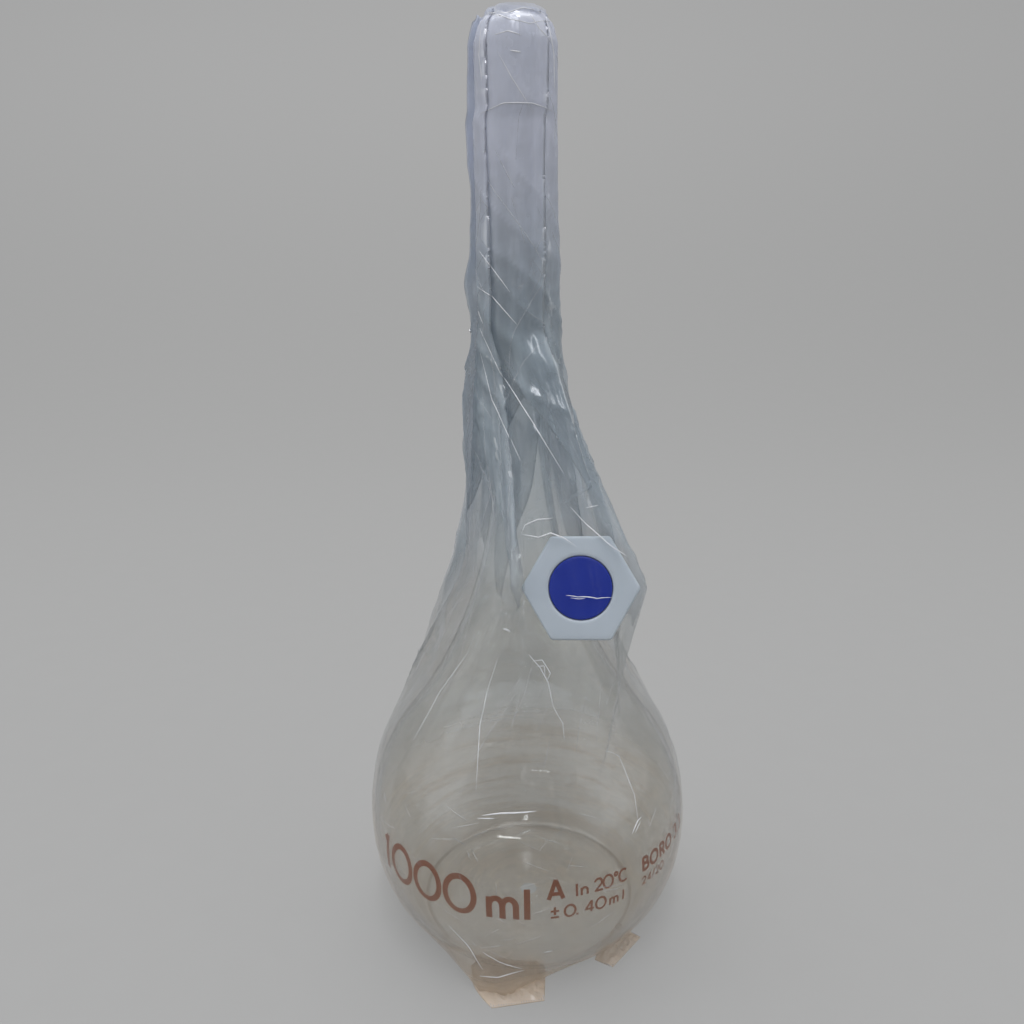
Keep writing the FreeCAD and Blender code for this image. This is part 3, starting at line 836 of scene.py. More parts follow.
disc = lathe("blue_disc", [(0, -1.95 * MM), (10.2 * MM, -1.95 * MM), (10.45 * MM, -1.7 * MM),
                           (10.45 * MM, -0.35 * MM), (10.35 * MM, -0.12 * MM),
                           (10.1 * MM, -0.02 * MM), (9.4 * MM, 0.0), (4.7 * MM, -0.02 * MM),
                           (0, -0.03 * MM)], blue_plastic(), around=96)
disc.data.transform(stopper_place)
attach(disc, "stopper")
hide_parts("stopper_insert")
print("stopper faces:", len(stopper.data.polygons), "disc faces:", len(disc.data.polygons))

# %% [markdown]
# ## The bag
# The bag is a tube of thin clear film, 400 mm round, and about as wide as the bulb. Above the
# bulb there is far more film than there is flask, so it lies in flat folds, wrapped one over
# the next up the neck, and it is stretched like a tent over the stopper.
# It could be simulated as cloth, but film this stiff doesn't drape: it folds along straight
# lines and stays where it was pressed. So it is worked out level by level instead. A ring is
# drawn tight round whatever is inside at that height, the spare width is laid in folds along
# the ring, and creases are pressed in at the end.

# %% Smooth random fields
def field(across, along, cells_across, cells_along, seed):
    """Smooth noise from 0 to 1. It repeats once for each whole turn of across."""
    grid = np.random.default_rng(seed).random((cells_across, cells_along + 2))
    u = (across % 1.0) * cells_across
    v = np.clip(along, 0, 0.9999) * cells_along
    column = np.floor(u).astype(int) % cells_across
    following = (column + 1) % cells_across
    row = np.floor(v).astype(int)
    u = u - np.floor(u)
    v = v - row
    u = u * u * (3 - 2 * u)
    v = v * v * (3 - 2 * v)
    low = grid[column, row] * (1 - u) + grid[following, row] * u
    high = grid[column, row + 1] * (1 - u) + grid[following, row + 1] * u
    return low * (1 - v) + high * v


def creases(across, along, cells_across, cells_along, seed, sharp=2.0):
    """Narrow ridges where the noise passes its middle."""
    return (1 - np.abs(2 * field(across, along, cells_across, cells_along, seed) - 1)) ** sharp


def soft_step(value, low, high):
    share = np.clip((value - low) / (high - low), 0, 1)
    return share * share * (3 - 2 * share)


# %% What the film is drawn over
OUTSIDE, foot_centre = tangent_arcs(0.0)
GLASS_LINE = OUTSIDE + [(neck_radius, socket_start), (socket_outer, socket_start + socket_rise),
                        (socket_outer, mouth)]
# height above the base: how far a taut film stands off the glass there, and how thick the
# folded layers are together, in mm
HUG = [(0, 0.2, 0.0), (50, 0.25, 0.0), (62, 0.9, 0.0), (82, 4.2, 0.4), (100, 8.5, 1.0),
       (125, 10.3, 1.6), (148, 9.3, 2.0), (170, 8.2, 2.2), (194, 7.0, 2.2), (205, 5.2, 2.2),
       (221, 3.2, 1.8), (240, 2.6, 1.4), (262, 2.9, 0.9), (285, 3.4, 0.5), (303, 3.9, 0.3),
       (307, 0.05, 0.2), (342, 0.05, 0.2)]


def at_height(height, column):
    return MM * float(np.interp((height - base) / MM, [row[0] for row in HUG],
                                [row[column] for row in HUG]))


def glass_radius(height):
    return float(np.interp(height, [z for _, z in GLASS_LINE], [r for r, _ in GLASS_LINE]))


def rim_points(along, radius, count):
    points = []
    for step in range(count):
        angle = 2 * math.pi * step / count
        points.append(stopper_place @ Vector((radius * math.cos(angle),
                                              radius * math.sin(angle), along)))
    return points


def resting(height, bearing):
    """A point on the glass; bearing 0 is the front and a quarter turn is the right."""
    radius = glass_radius(height)
    return Vector((radius * math.sin(bearing), -radius * math.cos(bearing), height))


tent_low = bulb_centre + 30 * MM
tent_high = neck_start + 44 * MM
stopper_bearing = math.atan2(face_middle.x, -face_middle.y)
head_reach = head_corners / 2 - 0.4 * MM
stopper_tent = (rim_points(0.0, head_reach, 6) + rim_points(-head_thickness, head_reach, 6)
                + rim_points(-head_thickness - plug_length, socket_radius - 1 * MM, 12)
                + [resting(tent_low, stopper_bearing), resting(tent_high, stopper_bearing)])
ear_tent = [Vector((-19 * MM, -54 * MM, 0.4 * MM)), Vector((-9 * MM, -56.5 * MM, 0.4 * MM)),
            resting(bulb_centre - 10 * MM, math.radians(-44)),
            resting(bulb_centre - 16 * MM, math.radians(-18))]


def section(points, level):
    """Where straight lines between points below and above a level pass through it."""
    spots = []
    for low in points:
        for high in points:
            if low.z <= level < high.z:
                spot = low.lerp(high, (level - low.z) / (high.z - low.z))
                spots.append((spot.x, spot.y))
    return spots


DIRECTIONS = np.linspace(0, 2 * math.pi, 720, endpoint=False)
FACING = np.cos(DIRECTIONS[:, None] - DIRECTIONS[None, :])
LEANING = np.where(FACING > 0.04, 1 / np.maximum(FACING, 0.04), 1e9)


def tight_ring(level, radius, loose):
    """A ring of film drawn round everything at one level, as points from the back, leftwards."""
    side = np.cos(DIRECTIONS - math.pi)
    front = np.cos(DIRECTIONS + math.pi / 2)
    share = 0.72 + 0.28 * np.clip(side, 0, 1) - 0.25 * np.clip(front, 0, 1)
    support = radius + 0.25 * MM + loose * share
    for x, y in section(stopper_tent, level) + section(ear_tent, level):
        support = np.maximum(support,
                             x * np.cos(DIRECTIONS) + y * np.sin(DIRECTIONS) + 0.3 * MM)
    reach = (support[:, None] * LEANING).min(axis=0)
    quarter = len(DIRECTIONS) // 4
    x = np.roll(reach * np.cos(DIRECTIONS), -quarter)
    y = np.roll(reach * np.sin(DIRECTIONS), -quarter)
    return np.append(x, x[0]), np.append(y, y[0])


print("tent from", round(1000 * tent_low), "to", round(1000 * tent_high), "mm")

# %% [markdown]
# Each fold runs forward over the last one, turns back under itself and goes on, as pleats in a
# skirt do. Every level has the same number of columns in each run, so the folded edges stay
# crisp from the shoulder to the mouth, and they drift round the neck because the film was
# twisted as it was wrapped.

# %% Folds
FILM_ROUND = 0.400
# (folded edge's place round the ring in turns, from the back by way of the left; share of the
# spare film; start above the bulb's centre, in mm; turns of drift up the neck; how far the
# edge stands off, in mm)
FOLDS = [
    (0.10, 0.17, 58, 0.10, 0.9),
    (0.25, 0.20, 40, 0.00, 3.0),
    (0.41, 0.15, 84, -0.03, 0.5),
    (0.585, 0.14, 128, 0.06, 0.7),
    (0.80, 0.18, 66, 0.14, 0.8),
    (0.95, 0.16, 52, 0.12, 0.8),
]
FORWARD = 34
BACK = 18


def fold_columns(level, perimeter):
    """Each column's place round the ring in turns, its layer from 0 to 1, and its edge's lift."""
    spare = max(FILM_ROUND - perimeter, 0.0)
    height = (level - bulb_centre) / MM
    climb = max((level - neck_start) / (bag_top - neck_start), -0.6)
    edges = []
    widths = []
    for place, share, begin, drift, _ in FOLDS:
        edges.append(place + drift * climb)
        widths.append(share * spare / 2 / perimeter * float(soft_step(height, begin, begin + 75)))
    turns = []
    layers = []
    lifts = []
    ahead = np.linspace(0, 1, FORWARD, endpoint=False)
    back = np.linspace(0, 1, BACK, endpoint=False)
    even = np.linspace(0, 1, FORWARD + BACK, endpoint=False)
    for index, (_, _, _, _, lift) in enumerate(FOLDS):
        before = edges[index - 1] - widths[index - 1] - (1 if index == 0 else 0)
        outer = edges[index]
        inner = outer - widths[index]
        folded = float(soft_step(widths[index], 0.0, 0.012))
        pleat = np.concatenate([before + (outer - before) * ahead, outer + (inner - outer) * back])
        smooth = before + (inner - before) * even
        turns.append(smooth + (pleat - smooth) * folded)
        layers.append(np.concatenate([ahead, 1 - back]) * folded)
        lifts.append(np.concatenate([ahead ** 9, (1 - back) ** 5]) * lift * folded)
    depth = np.repeat(np.array(widths) * perimeter, FORWARD + BACK)
    return np.concatenate(turns), np.concatenate(layers), np.concatenate(lifts), depth


# %% Levels of the film
def film_levels():
    """(level, radius of what is inside) of every row, from under the base to the open top."""
    touch = bulb_centre - bulb_radius * math.sin(math.radians(41.2))
    flat = [(0.3 * MM, radius) for radius in np.linspace(3 * MM, foot_centre + 3 * MM, 16)]
    foot = arc(foot_centre, base + foot_round, foot_round, -75, -42, 4)
    foot = [(z, r) for r, z in foot]
    bulb = [bulb_centre + bulb_radius * math.sin(a)
            for a in np.radians(np.linspace(-40, 40, 66))]
    above = np.linspace(bulb[-1], bag_top, 204)[1:]
    rows = flat + foot + [(z, glass_radius(z)) for z in bulb]
    for z in above:
        close = float(soft_step(z, mouth - 2 * MM, bag_top))
        rows.append((z, glass_radius(min(z, mouth)) - 4.6 * MM * close))
    return rows


# how deep the long creases, the slanting ones and the small ones are, in mm, at heights over
# the bulb's centre
CREASE_HEIGHTS = [-42, -30, 0, 30, 60, 120, 180, 230, 262, 284, 297]
CREASE_DEPTHS = [
    [0.0, 0.2, 0.12, 0.6, 1.8, 1.7, 0.8, 0.4, 0.04, 0.15, 1.3],
    [0.0, 0.3, 0.10, 0.2, 0.6, 1.0, 0.9, 0.5, 0.05, 0.1, 0.9],
    [0.0, 0.25, 0.14, 0.15, 0.25, 0.3, 0.3, 0.25, 0.08, 0.15, 0.8],
]


def film_rows():
    """Points, creases and how far the film is gathered, row by row."""
    levels = film_levels()
    columns = len(FOLDS) * (FORWARD + BACK)
    own = np.arange(columns) / columns
    points = []
    pressed = []
    gathered = []
    for number, (level, radius) in enumerate(levels):
        along = np.full(columns, number / (len(levels) - 1))
        x, y = tight_ring(level, radius, at_height(level, 1))
        length = np.concatenate([[0], np.cumsum(np.hypot(np.diff(x), np.diff(y)))])
        turns, layer, lift, depth = fold_columns(level, length[-1])

        def around(shift, line):
            return np.interp(((turns + shift) % 1.0) * length[-1], length, line)

        way_x = around(0.006, x) - around(-0.006, x)
        way_y = around(0.006, y) - around(-0.006, y)
        norm = np.hypot(way_x, way_y)
        height = (level - bulb_centre) / MM
        low, mid, fine = (MM * float(np.interp(height, CREASE_HEIGHTS, depths))
                          for depths in CREASE_DEPTHS)
        slope = 0.9 * along + 3.2 * np.maximum(along - 0.62, 0)
        long_crease = creases(turns + 0.02 * field(own, along, 12, 30, 4), along, 30, 5, 3, 2.6)
        slant = creases(turns + slope, along, 8, 7, 5, 3.0)
        small = creases(own, along, 80, 70, 8, 1.6)
        puff = field(own, along, 18, 24, 11)
        stack = np.minimum(at_height(level, 2), 0.085 * depth)
        calm = 1 - 0.72 * float(soft_step(level, socket_start - 45 * MM, socket_start))
        calm = calm + (1 - calm) * 0.8 * np.clip((lift - 0.9) / 0.6, 0, 1)
        flap = np.minimum(depth * 0.05, 1.0 * MM) * calm
        stand = (layer * stack + lift * flap * (0.35 + 1.3 * puff)
                 + low * long_crease + mid * slant + fine * small)
        points.append(np.stack([around(0, x) + way_y / norm * stand,
                                around(0, y) - way_x / norm * stand,
                                np.full(columns, level)], axis=1))
        pressed.append(np.clip(0.5 * long_crease ** 3 + 0.6 * slant ** 3 + 0.2 * small ** 2, 0, 1))
        gathered.append(soft_step(depth, 4 * MM, 26 * MM))
    points = np.array(points)
    top = soft_step(points[:, :, 2], mouth + 4 * MM, bag_top)
    ragged = field(own[None, :].repeat(len(levels), 0), top * 0, 14, 2, 21)
    points[:, :, 2] -= top * (3.2 + 3.4 * ragged) * MM
    return points, np.array(pressed), np.array(gathered)


film_points, film_pressed, film_gathered = film_rows()
print("film rows and columns:", film_points.shape[:2])


# %% Film finish
def clear_film():
    """Thin clear film: see-through, mirror-like at a slant, milky where it is creased.
    Its haze holds painted tints of reflected light, and a painted glint on creases.

    Its height is the one it has while the flask stands in it, so a crumpled bag keeps its look.
    """
    finish = Finish("clear_film")
    where, _ = finish.place()
    height = finish.node("ShaderNodeAttribute", {"attribute_name": "level"}, output="Fac")
    flat = finish.node("ShaderNodeUVMap", {"uv_map": "cut_sheet"})
    tall = finish.node("ShaderNodeMapping", None, {"Vector": flat, "Scale": (1, 0.22, 1)})
    wide = finish.node("ShaderNodeMapping", None, {"Vector": flat, "Scale": (0.3, 1.6, 1)})
    crease = finish.node("ShaderNodeAttribute", {"attribute_name": "crease"}, output="Fac")
    gathered = finish.node("ShaderNodeAttribute", {"attribute_name": "gathered"}, output="Fac")
    up = height.above(bulb_centre - 5 * MM, bulb_centre + 35 * MM)
    crinkle_tall = finish.noise(tall, 60.0, 5.0, 0.55, "RIDGED_MULTIFRACTAL")
    crinkle_wide = finish.noise(wide, 80.0, 5.0, 0.6, "RIDGED_MULTIFRACTAL")
    crinkle = crinkle_tall * up + crinkle_wide * (1 - up)
    large = finish.noise(tall, 16.0, 3.0, 0.5, distort=0.6)
    haze = finish.noise(tall, 26.0, 5.0, 0.62)
    level_lines = finish.node("ShaderNodeMapping", None, {"Vector": flat, "Scale": (0.1, 1.0, 1)})
    scuffs = finish.noise(level_lines, 150.0, 5.0, 0.65)
    streak = finish.noise(tall, 130.0, 3.0, 0.6)
    relief = crinkle * 0.35 + large * 1.2 + streak * 0.1
    bump = finish.bump(relief, 0.6 * MM, 0.5)
    neck = height.above(bulb_centre + 40 * MM, neck_start - 5 * MM)
    top = height.above(neck_start + 32 * MM, mouth - 26 * MM)
    low = 1 - height.above(bulb_centre - 12 * MM, bulb_centre + 30 * MM)
    # the veil's colour is painted by height: blue-grey up the neck, pale lavender at the open top
    # and warm beige low down. These tints are painted reflection of cool light from above and of
    # warm light off the floor, and the bright low colour also paints light into the shade under
    # the bulb
    veil_and_painted_light_colour = finish.mix(neck, rgb(0.40, 0.405, 0.39), rgb(0.54, 0.62, 0.66))
    veil_and_painted_light_colour = finish.mix(top, veil_and_painted_light_colour, rgb(0.90, 0.91, 0.99))
    veil_and_painted_light_colour = finish.mix(low, veil_and_painted_light_colour, rgb(0.93, 0.77, 0.61))
    floor_film = 1 - height.above(base + 2 * MM, base + 9 * MM)
    depth = finish.node("ShaderNodeSeparateXYZ", None, {0: where}, output="Y")
    behind = depth.above(-25 * MM, 30 * MM)
    apart = finish.node("ShaderNodeVectorMath", {"operation": "DISTANCE"},
                        {0: where, 1: tuple(face_middle)}, output="Value")
    taut = 1 - apart.above(17 * MM, 25 * MM)
    # the veil is thin where one layer is drawn tight, and thick where layers lie together, at
    # the open top, on the floor, behind the bulb's lower half, in scuffs and along creases.
    # Along creases the paler veil is partly a painted glint, and on the floor it is partly
    # painted light that keeps the tabs pale in the flask's shadow
    veil = (0.03 + low * (0.09 + 0.30 * behind) + neck * 0.18 + gathered * 0.06 + top * 0.34
            + floor_film * 0.25 + haze.above(0.42, 0.72) * (0.06 + 0.14 * gathered)
            + scuffs.above(0.44, 0.70) * low * (0.08 + 0.26 * behind)
            + streak.above(0.45, 0.7) * neck * 0.14
            + crease * (0.10 + 0.16 * gathered)).at_most(0.8) * (1 - 0.85 * taut)
    front = finish.principled({
        "Base Color": veil_and_painted_light_colour, "Roughness": 0.6, "Normal": bump})
    # the light through the film is tinted the same way: blue up the neck as painted cool
    # reflection, warm low down as painted light off the floor
    grey_light = finish.scatter("Translucent", rgb(0.44, 0.45, 0.44))
    painted_cool_light_through = finish.scatter("Translucent", rgb(0.62, 0.68, 0.78))
    painted_warm_bounce_through = finish.scatter("Translucent", rgb(0.93, 0.77, 0.61))
    through = finish.blend(neck, grey_light, painted_cool_light_through)
    through = finish.blend(low, through, painted_warm_bounce_through)
    pale = finish.blend(0.45, front, through)
    clear = finish.scatter("Transparent", rgb(0.95, 0.956, 0.957))
    gloss = finish.principled({
        "Base Color": rgb(0.95, 0.96, 0.97), "Metallic": 1.0, "Roughness": 0.16,
        "Normal": bump})
    mirror = (finish.node("ShaderNodeFresnel", None, {"IOR": 1.45, "Normal": bump}) * 1.0
              ).at_most(0.5) * (1 - 0.6 * taut)
    thin = finish.blend(mirror, clear, gloss)
    return finish.surface(finish.blend(veil, thin, pale))


film_finish = clear_film()


# %% The film as one mesh
def film_mesh(name, points, marks, material):
    rows, columns = points.shape[:2]
    faces = []
    for row in range(rows - 1):
        for column in range(columns):
            following = (column + 1) % columns
            faces.append((row * columns + column, row * columns + following,
                          (row + 1) * columns + following, (row + 1) * columns + column))
    piece = new_piece(name, points.reshape(-1, 3), faces, material)
    mesh = piece.data
    for name, values in marks.items():
        mark(mesh, name, values)
    climb = np.linalg.norm(np.diff(points, axis=0), axis=2).mean(axis=1)
    climb = np.concatenate([[0], np.cumsum(climb)])
    layer = mesh.uv_layers.new(name="cut_sheet")
    places = []
    for row in range(rows - 1):
        for column in range(columns):
            left = FILM_ROUND * column / columns
            right = FILM_ROUND * (column + 1) / columns
            places += [left, climb[row], right, climb[row], right, climb[row + 1],
                       left, climb[row + 1]]
    layer.data.foreach_set("uv", np.array(places, np.float32))
    return piece


film = film_mesh("clear_bag", film_points,
                 {"crease": film_pressed, "gathered": film_gathered,
                  "level": film_points[:, :, 2]}, film_finish)
print("film faces:", len(film.data.polygons))

# %% [markdown]
# A crease in such film is a sharp white line with a glint on it, much thinner than the mesh's
# faces. So the sharpest creases are little ridges of their own, which follow the film, and
# their white is partly a painted glint. A few lie in known places, and the rest are strewn
# over the film with a fixed seed.

# %% Sharp creases in known places
# points (x, height above the base) seen from the front, and the ridge's width, in mm
KNOWN_CREASES = [
    ([(-14.5, 250), (-9.4, 247), (-1.1, 237.6)], 0.42),
    ([(-13.5, 262), (-7.2, 253.7), (-3.3, 248.4)], 0.34),
    ([(-15, 243), (-12.8, 237.8)], 0.34),
    ([(-14, 236), (-7.2, 221.7), (2.9, 207.2), (13.4, 190.2)], 0.34),
    ([(-14, 228), (-10.2, 212), (-0.8, 193.6)], 0.32),
    ([(-1, 171.5), (0.2, 174), (4.5, 176), (9.5, 176.5)], 0.36),
    ([(-1, 171.2), (4.4, 170.5), (8.7, 172), (13, 170.5), (17, 167.5)], 0.40),
    ([(15.5, 179.5), (21, 174), (27, 169), (33.2, 165.2)], 0.42),
    ([(20.5, 179.6), (24.5, 180.4)], 0.3),
    ([(13.1, 153.0), (21.4, 152.2), (28.5, 151.9)], 0.34),
    ([(14.5, 152.2), (19.4, 151.9)], 0.24),
    ([(0.8, 131.2), (4.3, 127.4), (7.0, 122.3), (8.6, 114.0)], 0.5),
    ([(1.9, 129.2), (5.1, 130.3), (7.8, 126.1), (6.6, 122.6)], 0.42),
    ([(3.2, 127.4), (5.8, 128.2), (6.0, 124.5)], 0.34),
    ([(-7.9, 135.6), (-5.4, 135.8)], 0.8),
    ([(8.6, 114), (11.7, 108.8), (12.2, 102.6)], 0.3),
    ([(-16.4, 74.6), (-10.1, 76.0), (2.6, 76.8)], 0.55),
    ([(-18, 73.6), (-12, 74.2)], 0.34),
    ([(36.4, 62.2), (38.8, 65.6), (40.2, 66.0)], 0.5),
    ([(37.6, 62.0), (39.8, 64.8)], 0.3),
    ([(26.7, 94.7), (32.5, 87.7), (37.8, 74.1), (38.8, 66.1)], 0.32),
    ([(-10.3, 123.9), (-14.1, 112), (-16.8, 100.9), (-18.4, 81.5)], 0.3),
    ([(-20.1, 123.6), (-31.8, 106.8), (-41.8, 89.0)], 0.3),
    ([(-29.2, 29.1), (-22.2, 20.5), (-17.8, 12.2)], 0.36),
    ([(-17.5, 20.7), (-11.4, 16.1), (-3.5, 11.5)], 0.34),
    ([(-18.9, 8.5), (-11.6, 9.4), (-2.8, 10.5)], 0.5),
    ([(4.4, 21.3), (7.3, 21.6)], 0.4),
    ([(-6.7, 326.6), (-2.4, 327.4), (2.0, 326.0)], 0.42),
    ([(-1.9, 321.8), (1.6, 321.2)], 0.5),
    ([(-10.5, 331.5), (-8.2, 334.2), (-3.0, 333.0), (2.5, 334.6), (9.6, 333.6)], 0.4),
    ([(-9.0, 334.4), (-2.0, 331.0), (4.5, 329.6), (11.2, 331.8)], 0.34),
    ([(9.4, 334.0), (10.8, 329.0), (12.2, 322.0), (12.4, 312.0)], 0.4),
    ([(-10.8, 330.0), (-11.8, 322.0), (-11.0, 314.0)], 0.34),
    ([(3.6, 334.2), (7.4, 328.4), (11.6, 325.0)], 0.34),
    ([(-12.0, 304.5), (-4.0, 306.8), (5.0, 306.6), (12.0, 305.0)], 0.34),
    ([(-6.0, 322.0), (-1.5, 314.0), (5.2, 304.0)], 0.26),
]


def ridge_strip(line, outward, width):
    """A little roof-shaped ridge along a line: it tapers at both ends."""
    line = np.array(line)
    outward = np.array(outward)
    way = np.gradient(line, axis=0)
    side = np.cross(way, outward)
    side /= np.maximum(np.linalg.norm(side, axis=1), 1e-12)[:, None]
    taper = np.sin(np.linspace(0.06, math.pi - 0.06, len(line))) ** 0.6
    half = side * (width / 2 * taper)[:, None]
    top = line + outward * (width * 0.42 * taper + 0.05 * MM)[:, None]
    vertices = np.stack([line - half, top, line + half], axis=1).reshape(-1, 3)
    faces = []
    for step in range(len(line) - 1):
        low = 3 * step
        for lane in (0, 1):
            faces.append((low + lane, low + lane + 1, low + lane + 4, low + lane + 3))
    return vertices, faces


def known_ridges():
    tree = BVHTree.FromPolygons([tuple(v.co) for v in film.data.vertices],
                                [tuple(f.vertices) for f in film.data.polygons])
    strips = []
    for points, width in KNOWN_CREASES:
        line = []
        outward = []
        for x, z in fine_line(points, 0.8):
            hit, normal, _, _ = tree.ray_cast(Vector((x * MM, -0.2, base + z * MM)),
                                              Vector((0, 1, 0)))
            if hit is not None:
                line.append(tuple(hit))
                outward.append(tuple(normal if normal.y < 0 else -normal))
        if len(line) > 2:
            strips.append(ridge_strip(line, outward, width * MM))
    return strips


# %% Sharp creases strewn over the film
# (how many, lowest and highest row share, steps long, columns across for each row up, width)
STREWN_CREASES = [
    (90, 0.42, 0.80, (12, 46), (-0.5, 0.7), 0.22),
    (60, 0.62, 0.98, (8, 26), (-1.6, 0.4), 0.22),
    (110, 0.30, 0.50, (8, 34), (-0.35, 0.35), 0.18),
    (130, 0.11, 0.26, (2, 5), (-5.0, 5.0), 0.18),
]


def strewn_ridges():
    pick = np.random.default_rng(77)
    face = np.array(face_middle)
    rows, columns = film_points.shape[:2]
    strips = []
    for count, low, high, steps, slants, width in STREWN_CREASES:
        for _ in range(count):
            row = rows * pick.uniform(low, high)
            column = pick.integers(columns)
            slant = pick.uniform(*slants)
            bend = pick.uniform(-0.015, 0.015)
            length = int(pick.integers(*steps))
            lean = width * MM * pick.uniform(0.7, 1.5)
            line = []
            outward = []
            for step in np.arange(0, length, 0.5):
                at = row + step
                if at >= rows - 1.01:
                    break
                across = column + slant * step + bend * step * step
                low_row = int(at)
                left = int(math.floor(across)) % columns
                right = (left + 1) % columns
                u = across - math.floor(across)
                v = at - low_row
                corners = [film_points[low_row, left], film_points[low_row, right],
                           film_points[low_row + 1, left], film_points[low_row + 1, right]]
                spot = ((corners[0] * (1 - u) + corners[1] * u) * (1 - v)
                        + (corners[2] * (1 - u) + corners[3] * u) * v)
                normal = np.cross(corners[1] - corners[0], corners[2] - corners[0])
                normal /= max(np.linalg.norm(normal), 1e-12)
                if normal[:2] @ spot[:2] < 0:
                    normal = -normal
                line.append(spot)
                outward.append(normal)
            clear_of_stopper = min(np.linalg.norm(spot - face) for spot in line) > 26 * MM
            if len(line) > 3 and clear_of_stopper:
                strips.append(ridge_strip(line, outward, lean))
    return strips


def pressed_white_and_painted_glint(name, share):
    """Film that has been pressed white, with its veil from share up to share and a bit.
    On the creases its white is partly a painted glint.
    """
    finish = Finish(name)
    where, _ = finish.place()
    cloud = finish.noise(where, 400.0, 3.0)
    colour = finish.mix(cloud, rgb(0.72, 0.73, 0.76), rgb(0.93, 0.94, 0.97))
    pale = finish.principled({
        "Base Color": colour, "Roughness": 0.22, "Normal": finish.bump(cloud, 0.05 * MM, 0.5)})
    clear = finish.scatter("Transparent", rgb(0.95, 0.95, 0.95))
    return finish.surface(finish.blend(share + cloud * 0.2, clear, pale))


def join_strips(name, strips, material):
    vertices = []
    faces = []
    for points, strip_faces in strips:
        start = len(vertices)
        vertices += [tuple(point) for point in points]
        faces += [tuple(start + i for i in face) for face in strip_faces]
    return new_piece(name, vertices, faces, material)


# the creases' pale colour is partly a painted glint
sharp_creases = join_strips("sharp_creases", known_ridges(), pressed_white_and_painted_glint("sharp_crease", 0.75))
fine_creases = join_strips("fine_creases", strewn_ridges(), pressed_white_and_painted_glint("fine_crease", 0.2))
print("crease faces:", len(sharp_creases.data.polygons), len(fine_creases.data.polygons))

# %% [markdown]
# ## The welded corners
# The bag's bottom is welded flat, and its corners stick out from under the bulb as little
# tabs. Each tab is two layers of film that part towards the bulb. The weld itself is a band
# of fine pressed ribs, and geometry nodes lay those along the tab's outer edge.

# %% Corner tabs
FOOT_REACH = 49.1 * MM
# each tab: inner left, outer left, outer right, inner right, in shares of the foot's reach,
# and how far its left side bows out
TABS = [
    ((-0.47, -0.84), (-0.30, -1.25), (0.09, -1.19), (0.11, -0.90), 0.05),
    ((0.50, -0.80), (0.63, -0.88), (0.89, -0.57), (0.76, -0.47), 0.0),
]


def tab_mesh(number, corners):
    inner_left, outer_left, outer_right, inner_right = (np.array(c) * FOOT_REACH
                                                        for c in corners[:4])
    across = np.linspace(0, 1, 41)
    out = np.linspace(0, 1, 33)
    u, v = np.meshgrid(across, out)
    left = inner_left + (outer_left - inner_left) * v[..., None]
    left[..., 0] -= corners[4] * FOOT_REACH * np.sin(math.pi * v)
    right = inner_right + (outer_right - inner_right) * v[..., None]
    spot = left + (right - left) * u[..., None]
    ridge = creases(u * 0.9, v, 7, 5, 31 + number, 2.0) + 0.5 * creases(
        u * 0.9, v, 19, 13, 41 + number, 1.6)
    open_end = (1 - v) ** 1.3
    rim = np.minimum(1, 8 * np.minimum(u, 1 - u)) * np.minimum(1, 6 * (1 - v))
    top = 0.35 * MM + (3.2 * MM * open_end + 1.0 * MM * ridge) * rim
    bottom = 0.05 * MM + 0.1 * MM * rim
    upper = np.dstack([spot, top])
    lower = np.dstack([spot, bottom])
    rows, columns = u.shape
    points = np.concatenate([upper.reshape(-1, 3), lower.reshape(-1, 3)])
    faces = []
    for row in range(rows - 1):
        for column in range(columns - 1):
            a = row * columns + column
            faces.append((a, a + 1, a + columns + 1, a + columns))
            b = a + rows * columns
            faces.append((b, b + columns, b + columns + 1, b + 1))
    edge = ([c for c in range(columns)] + [r * columns + columns - 1 for r in range(1, rows)]
            + [(rows - 1) * columns + c for c in range(columns - 2, -1, -1)]
            + [r * columns for r in range(rows - 2, 0, -1)])
    for here, there in zip(edge, edge[1:] + edge[:1]):
        faces.append((here, here + rows * columns, there + rows * columns, there))
    return points, faces, u, v, ridge


def make_tabs():
    all_points = []
    all_faces = []
    marks = []
    start = 0
    for number, corners in enumerate(TABS):
        points, faces, u, v, ridge = tab_mesh(number, corners)
        all_points.append(points)
        all_faces += [tuple(start + i for i in face) for face in faces]
        marks.append(np.concatenate([np.clip(ridge, 0, 1).reshape(-1) * 0.5,
                                     np.zeros(ridge.size)]))
        start += len(points)
    piece = new_piece("welded_corners", np.concatenate(all_points), all_faces, film_finish)
    turn_outwards(piece)
    mesh = piece.data
    mark(mesh, "crease", np.concatenate(marks))
    layer = mesh.uv_layers.new(name="cut_sheet")
    places = np.empty(2 * len(mesh.loops), np.float32)
    for index, loop in enumerate(mesh.loops):
        spot = mesh.vertices[loop.vertex_index].co
        places[2 * index] = spot.x + 0.2
        places[2 * index + 1] = spot.y + 0.1
    layer.data.foreach_set("uv", places)
    return piece


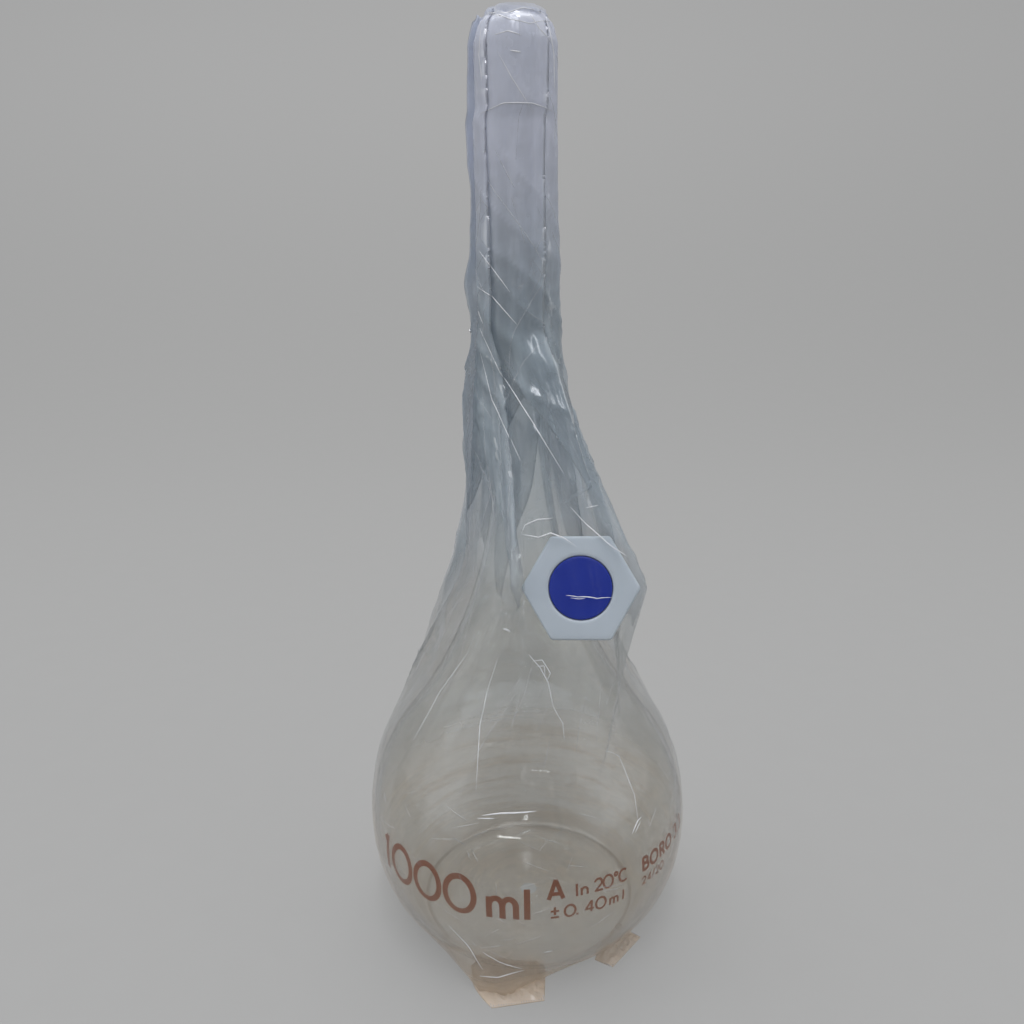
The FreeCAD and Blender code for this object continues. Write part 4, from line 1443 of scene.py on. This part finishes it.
tabs = make_tabs()
print("tab faces:", len(tabs.data.polygons))


# %% Weld ribs
def rib_tree():
    tree, given = new_tree("weld_ribs", ("Spacing", "Rib Width", "Rib Length", "Rib Height"))
    line = add(tree, "GeometryNodeMeshToCurve", {"Mesh": given["Geometry"]})
    spread = add(tree, "GeometryNodeCurveToPoints",
                 {"Curve": line["Curve"], "Length": given["Spacing"]}, mode="LENGTH")
    size = add(tree, "ShaderNodeCombineXYZ", {
        "X": given["Rib Length"], "Y": given["Rib Height"], "Z": given["Rib Width"]})
    rib = add(tree, "GeometryNodeMeshCube", {"Size": size[0]})
    place = add(tree, "GeometryNodeInstanceOnPoints", {
        "Points": spread["Points"], "Instance": rib["Mesh"], "Rotation": spread["Rotation"]})
    return end_tree(tree, given, place[0])


def weld_line():
    points = []
    edges = []
    for corners in TABS:
        left, right = np.array(corners[1]), np.array(corners[2])
        inward = (np.array(corners[0]) + np.array(corners[3])) / 2 - (left + right) / 2
        inward /= np.linalg.norm(inward)
        left = left * FOOT_REACH + inward * 2.2 * MM
        right = right * FOOT_REACH + inward * 2.2 * MM
        start = len(points)
        points += [(left[0], left[1], 0.45 * MM), (right[0], right[1], 0.45 * MM)]
        edges.append((start, start + 1))
    mesh = bpy.data.meshes.new("weld_ribs")
    mesh.from_pydata(points, edges, [])
    piece = bpy.data.objects.new("weld_ribs", mesh)
    scene.collection.objects.link(piece)
    return piece


ribs = run_tree(weld_line(), rib_tree(), {
    "Spacing": 0.9 * MM, "Rib Width": 0.35 * MM, "Rib Length": 4.0 * MM,
    "Rib Height": 0.12 * MM, "Material": pressed_white_and_painted_glint("weld", 0.22)})
print("rib faces:", len(ribs.data.polygons))

# %% [markdown]
# ## Joining the pieces to the frame
# The bag doesn't move with the flask, so its pieces are joined to a body of their own.

# %% Joining
for piece in (film, sharp_creases, fine_creases, tabs, ribs):
    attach(piece, "bag")
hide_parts("bag_sleeve")
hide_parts("bag_foot")
for piece in (film, sharp_creases, fine_creases):
    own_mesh(piece)
